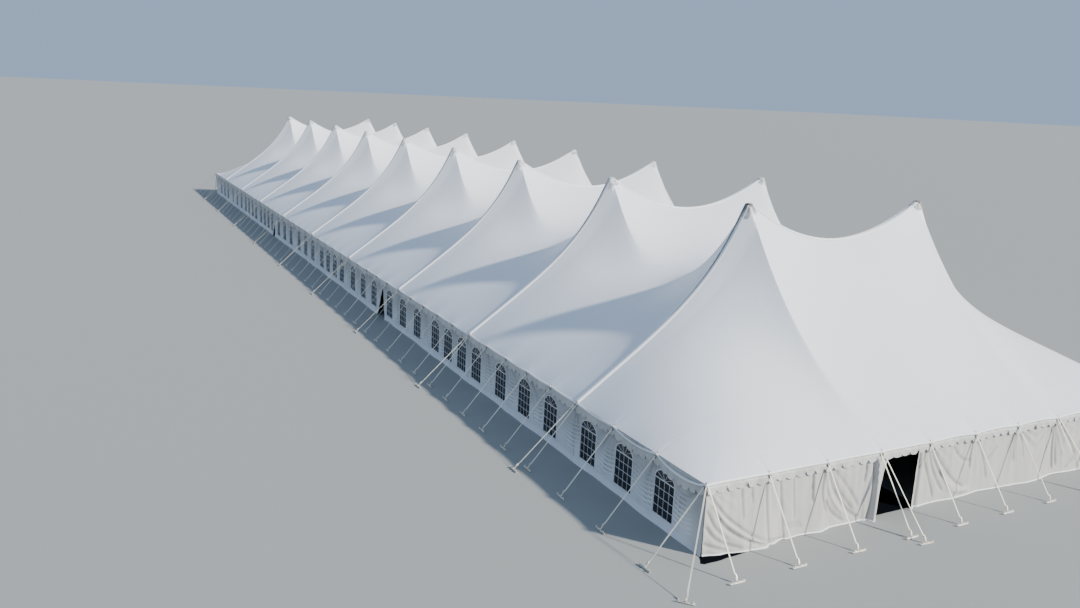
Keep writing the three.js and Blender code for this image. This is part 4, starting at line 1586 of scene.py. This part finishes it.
def edge_guys(places, half, doubled, reaches):
    """Place along one edge and reach of its every guy; a doubled place has a short one and a long one."""
    found = []
    for place in places:
        along = place - (math.copysign(PAIR_SPREAD, place) if at_corner(place, half) else 0)
        if min(abs(place - other) for other in doubled) < CORNER_GAP:
            found += [(along - PAIR_SPREAD, reaches[0]), (along + PAIR_SPREAD, reaches[1])]
        else:
            found.append((along, reaches[0]))
    return found


def guy_list():
    """Every guy: its place on the eave, its direction over the ground and its reach."""
    found = []
    slant = math.sqrt(0.5)
    for sign in (-1, 1):
        for y, reach in edge_guys(SIDE_PLACES, HALF_LENGTH, join_places(), SIDE_REACHES):
            found.append((sign * HALF_WIDTH, y, (sign, 0), reach))
        for x, reach in edge_guys(END_PLACES, HALF_WIDTH, (-POLE_ROW, POLE_ROW), END_REACHES):
            found.append((x, sign * HALF_LENGTH, (0, sign), reach))
        for side in (-1, 1):
            found.append((side * HALF_WIDTH, sign * HALF_LENGTH, (side * slant, sign * slant),
                          SIDE_REACHES[0] * math.sqrt(2)))
    return found


def guy_strap(maker, top, low, side, twist):
    """Flat webbing strap from the eave to its bar, twisted a little halfway."""
    slope = (low - top).normalized()
    face = side.cross(slope)
    rows = []
    for s in steps(8):
        middle = top.lerp(low, s)
        turn = Matrix.Rotation(twist * math.sin(math.pi * s), 3, slope)
        wide = STRAP_HALF * (turn @ side)
        thick = STRAP_THICK * (turn @ face)
        rows.append([middle + u * wide + v * thick for u, v in ((1, -1), (-1, -1), (-1, 1), (1, 1))])
    maker.sleeve(rows)


def guy_ratchet(maker, top, low, side):
    """Ratchet on a strap near its foot: body, handle and axle."""
    slope = (low - top).normalized()
    lift = slope.cross(side)
    spot = top.lerp(low, RATCHET_PLACE)
    maker.block(spot + lift * 0.0018, (slope, side, lift), (0.016, 0.0075, 0.0042), 0.4)
    maker.block(spot + lift * 0.0048 - slope * 0.005, (slope, side, lift), (0.013, 0.0055, 0.0018), 0.5)
    maker.tube([spot - side * 0.0052 + lift * 0.002, spot + side * 0.0052 + lift * 0.002], 0.0017)


def stake_bar(maker, foot, along, across, rng):
    """Steel bar across a strap's end, with a rib on it and three stakes through it."""
    maker.block(foot, (along, across, UP), (0.066, 0.0068, 0.0046), 0.35)
    maker.block(foot + UP * 0.003, (along, across, UP), (0.074, 0.0018, 0.0042), 0.35)
    for place in (-STAKE_SPACING, 0.0, STAKE_SPACING):
        head = foot + along * place + across * rng.uniform(-0.0008, 0.0008)
        lean = (UP + across * 0.12 + along * rng.uniform(-0.06, 0.06)).normalized()
        maker.tube([head - lean * 0.0028, head + lean * 0.0085], 0.0015)
        maker.tube([head + lean * 0.0072, head + lean * 0.0098], [0.003, 0.0026])


def guys():
    """Every guy: a webbing strap with a ratchet near its foot, and a bar with stakes across its end."""
    straps = Maker()
    ratchets = Maker()
    bars = Maker()
    rng = random.Random(21)
    for x, y, direction, reach in guy_list():
        out = Vector((*direction, 0))
        side = UP.cross(out)
        top = Vector((x, y, EAVE - 0.008)) + out * 0.0028
        low = Vector((x, y, 0.0045)) + out * reach
        guy_strap(straps, top, low, side, rng.uniform(-0.35, 0.35))
        guy_ratchet(ratchets, top, low, side)
        lay = Matrix.Rotation(rng.uniform(-0.05, 0.05), 3, UP)
        stake_bar(bars, Vector((x, y, BAR_FOOT)) + out * reach, lay @ side, lay @ out, rng)
    fit(straps.piece("guy_strap_webbing", STRAP_CLOTH, 40), "strap_webbing", "guy_straps")
    fit(ratchets.piece("guy_ratchets", STEEL, 40), "strap_webbing")
    fit(bars.piece("stake_bars", STEEL, 40), "strap_webbing")


# Stage, light and camera

FLOOR_HALF = 300.0
FLOOR_DROP = 0.0006
SKY_COLOUR = (0.49, 0.67, 0.96, 1)
SKY_STRENGTH = 0.7
SUN_COLOUR = (1.0, 0.965, 0.9)
SUN_ENERGY = 7.0
SUN_WIDTH = 2.6
TOWARDS_SUN = (0.533, -0.652, 0.54)
# Camera: its place, given from the near left corner, its pitch, yaw and roll, and its focal length in pixels
CAMERA_PLACE = (-HALF_WIDTH - 2.0774, -HALF_LENGTH - 2.5043, 1.7056)
CAMERA_TURN = (-0.2264, 0.4875, 0.047)
FOCAL_PIXELS = 903.28
PHOTO_WIDTH = 1080
SENSOR_WIDTH = 36


def stage():
    """Plain pale floor, a little below the tent."""
    mesh = bpy.data.meshes.new("studio_floor")
    corners = [(x * FLOOR_HALF, y * FLOOR_HALF, -FLOOR_DROP) for x, y in ((-1, -1), (1, -1), (1, 1), (-1, 1))]
    mesh.from_pydata(corners, [], [(0, 1, 2, 3)])
    floor = bpy.data.objects.new("studio_floor", mesh)
    bpy.context.scene.collection.objects.link(floor)
    material, _, shader = start_material("studio_floor_paint")
    shader.inputs["Base Color"].default_value = (0.3, 0.31, 0.3, 1)
    shader.inputs["Roughness"].default_value = 0.9
    mesh.materials.append(material)


def light():
    """Clear sky, and a warm sun in front of the door end and to its right."""
    world = bpy.data.worlds.new("studio_air")
    bpy.context.scene.world = world
    world.use_nodes = True
    air = world.node_tree.nodes["Background"]
    air.inputs["Color"].default_value = SKY_COLOUR
    air.inputs["Strength"].default_value = SKY_STRENGTH
    sun_data = bpy.data.lights.new("key_light", "SUN")
    sun_data.energy = SUN_ENERGY
    sun_data.angle = math.radians(SUN_WIDTH)
    sun_data.color = SUN_COLOUR
    sun = bpy.data.objects.new("key_light", sun_data)
    sun.rotation_euler = Vector(TOWARDS_SUN).to_track_quat("Z", "Y").to_euler()
    bpy.context.scene.collection.objects.link(sun)


def camera():
    """Camera at the photo's place, worked out from the tent's own spacing in the photo."""
    pitch, yaw, roll = CAMERA_TURN
    ahead = Vector((math.sin(yaw) * math.cos(pitch), math.cos(yaw) * math.cos(pitch), math.sin(pitch)))
    level = Vector((math.cos(yaw), -math.sin(yaw), 0))
    above = level.cross(ahead)
    right = math.cos(roll) * level + math.sin(roll) * above
    up = -math.sin(roll) * level + math.cos(roll) * above
    turn = Matrix((right, up, -ahead)).transposed().to_4x4()
    data = bpy.data.cameras.new("photo_camera")
    data.sensor_width = SENSOR_WIDTH
    data.lens = FOCAL_PIXELS / PHOTO_WIDTH * SENSOR_WIDTH
    data.clip_start = 0.05
    data.clip_end = 500
    made = bpy.data.objects.new("photo_camera", data)
    made.matrix_world = Matrix.Translation(Vector(CAMERA_PLACE)) @ turn
    bpy.context.scene.collection.objects.link(made)
    bpy.context.scene.camera = made


camera()
stage()
light()
for section in range(1, BAYS + 3):
    roof_cloth(section)
for number, y in enumerate(join_places(), start=1):
    join_flap(number, y)
peak_boots()
for side, half in (("left", HALF_LENGTH), ("right", HALF_LENGTH), ("near", HALF_WIDTH), ("far", HALF_WIDTH)):
    places = SIDE_PLACES if side in ("left", "right") else END_PLACES
    eave_hem(side, half, places)
    valance(side, half)
for side in ("left", "right"):
    side_wall(side)
    window_panes(side)
    window_bars(side)
    side_pole_set(side, SIDE_PLACES, HALF_LENGTH - SIDE_ROPE_END, SIDE_POLE_INSET,
                  *[f"{side}_side_poles_{part}" for part in (1, 2, 3)])
for side in ("near", "far"):
    end_wall(side)
    doorway_shade_sheet(side)
    side_pole_set(side, END_PLACES[1:-1], HALF_WIDTH - END_ROPE_END, END_POLE_INSET, f"{side}_side_poles")
corner_shade_sheet()
centre_poles()
guys()
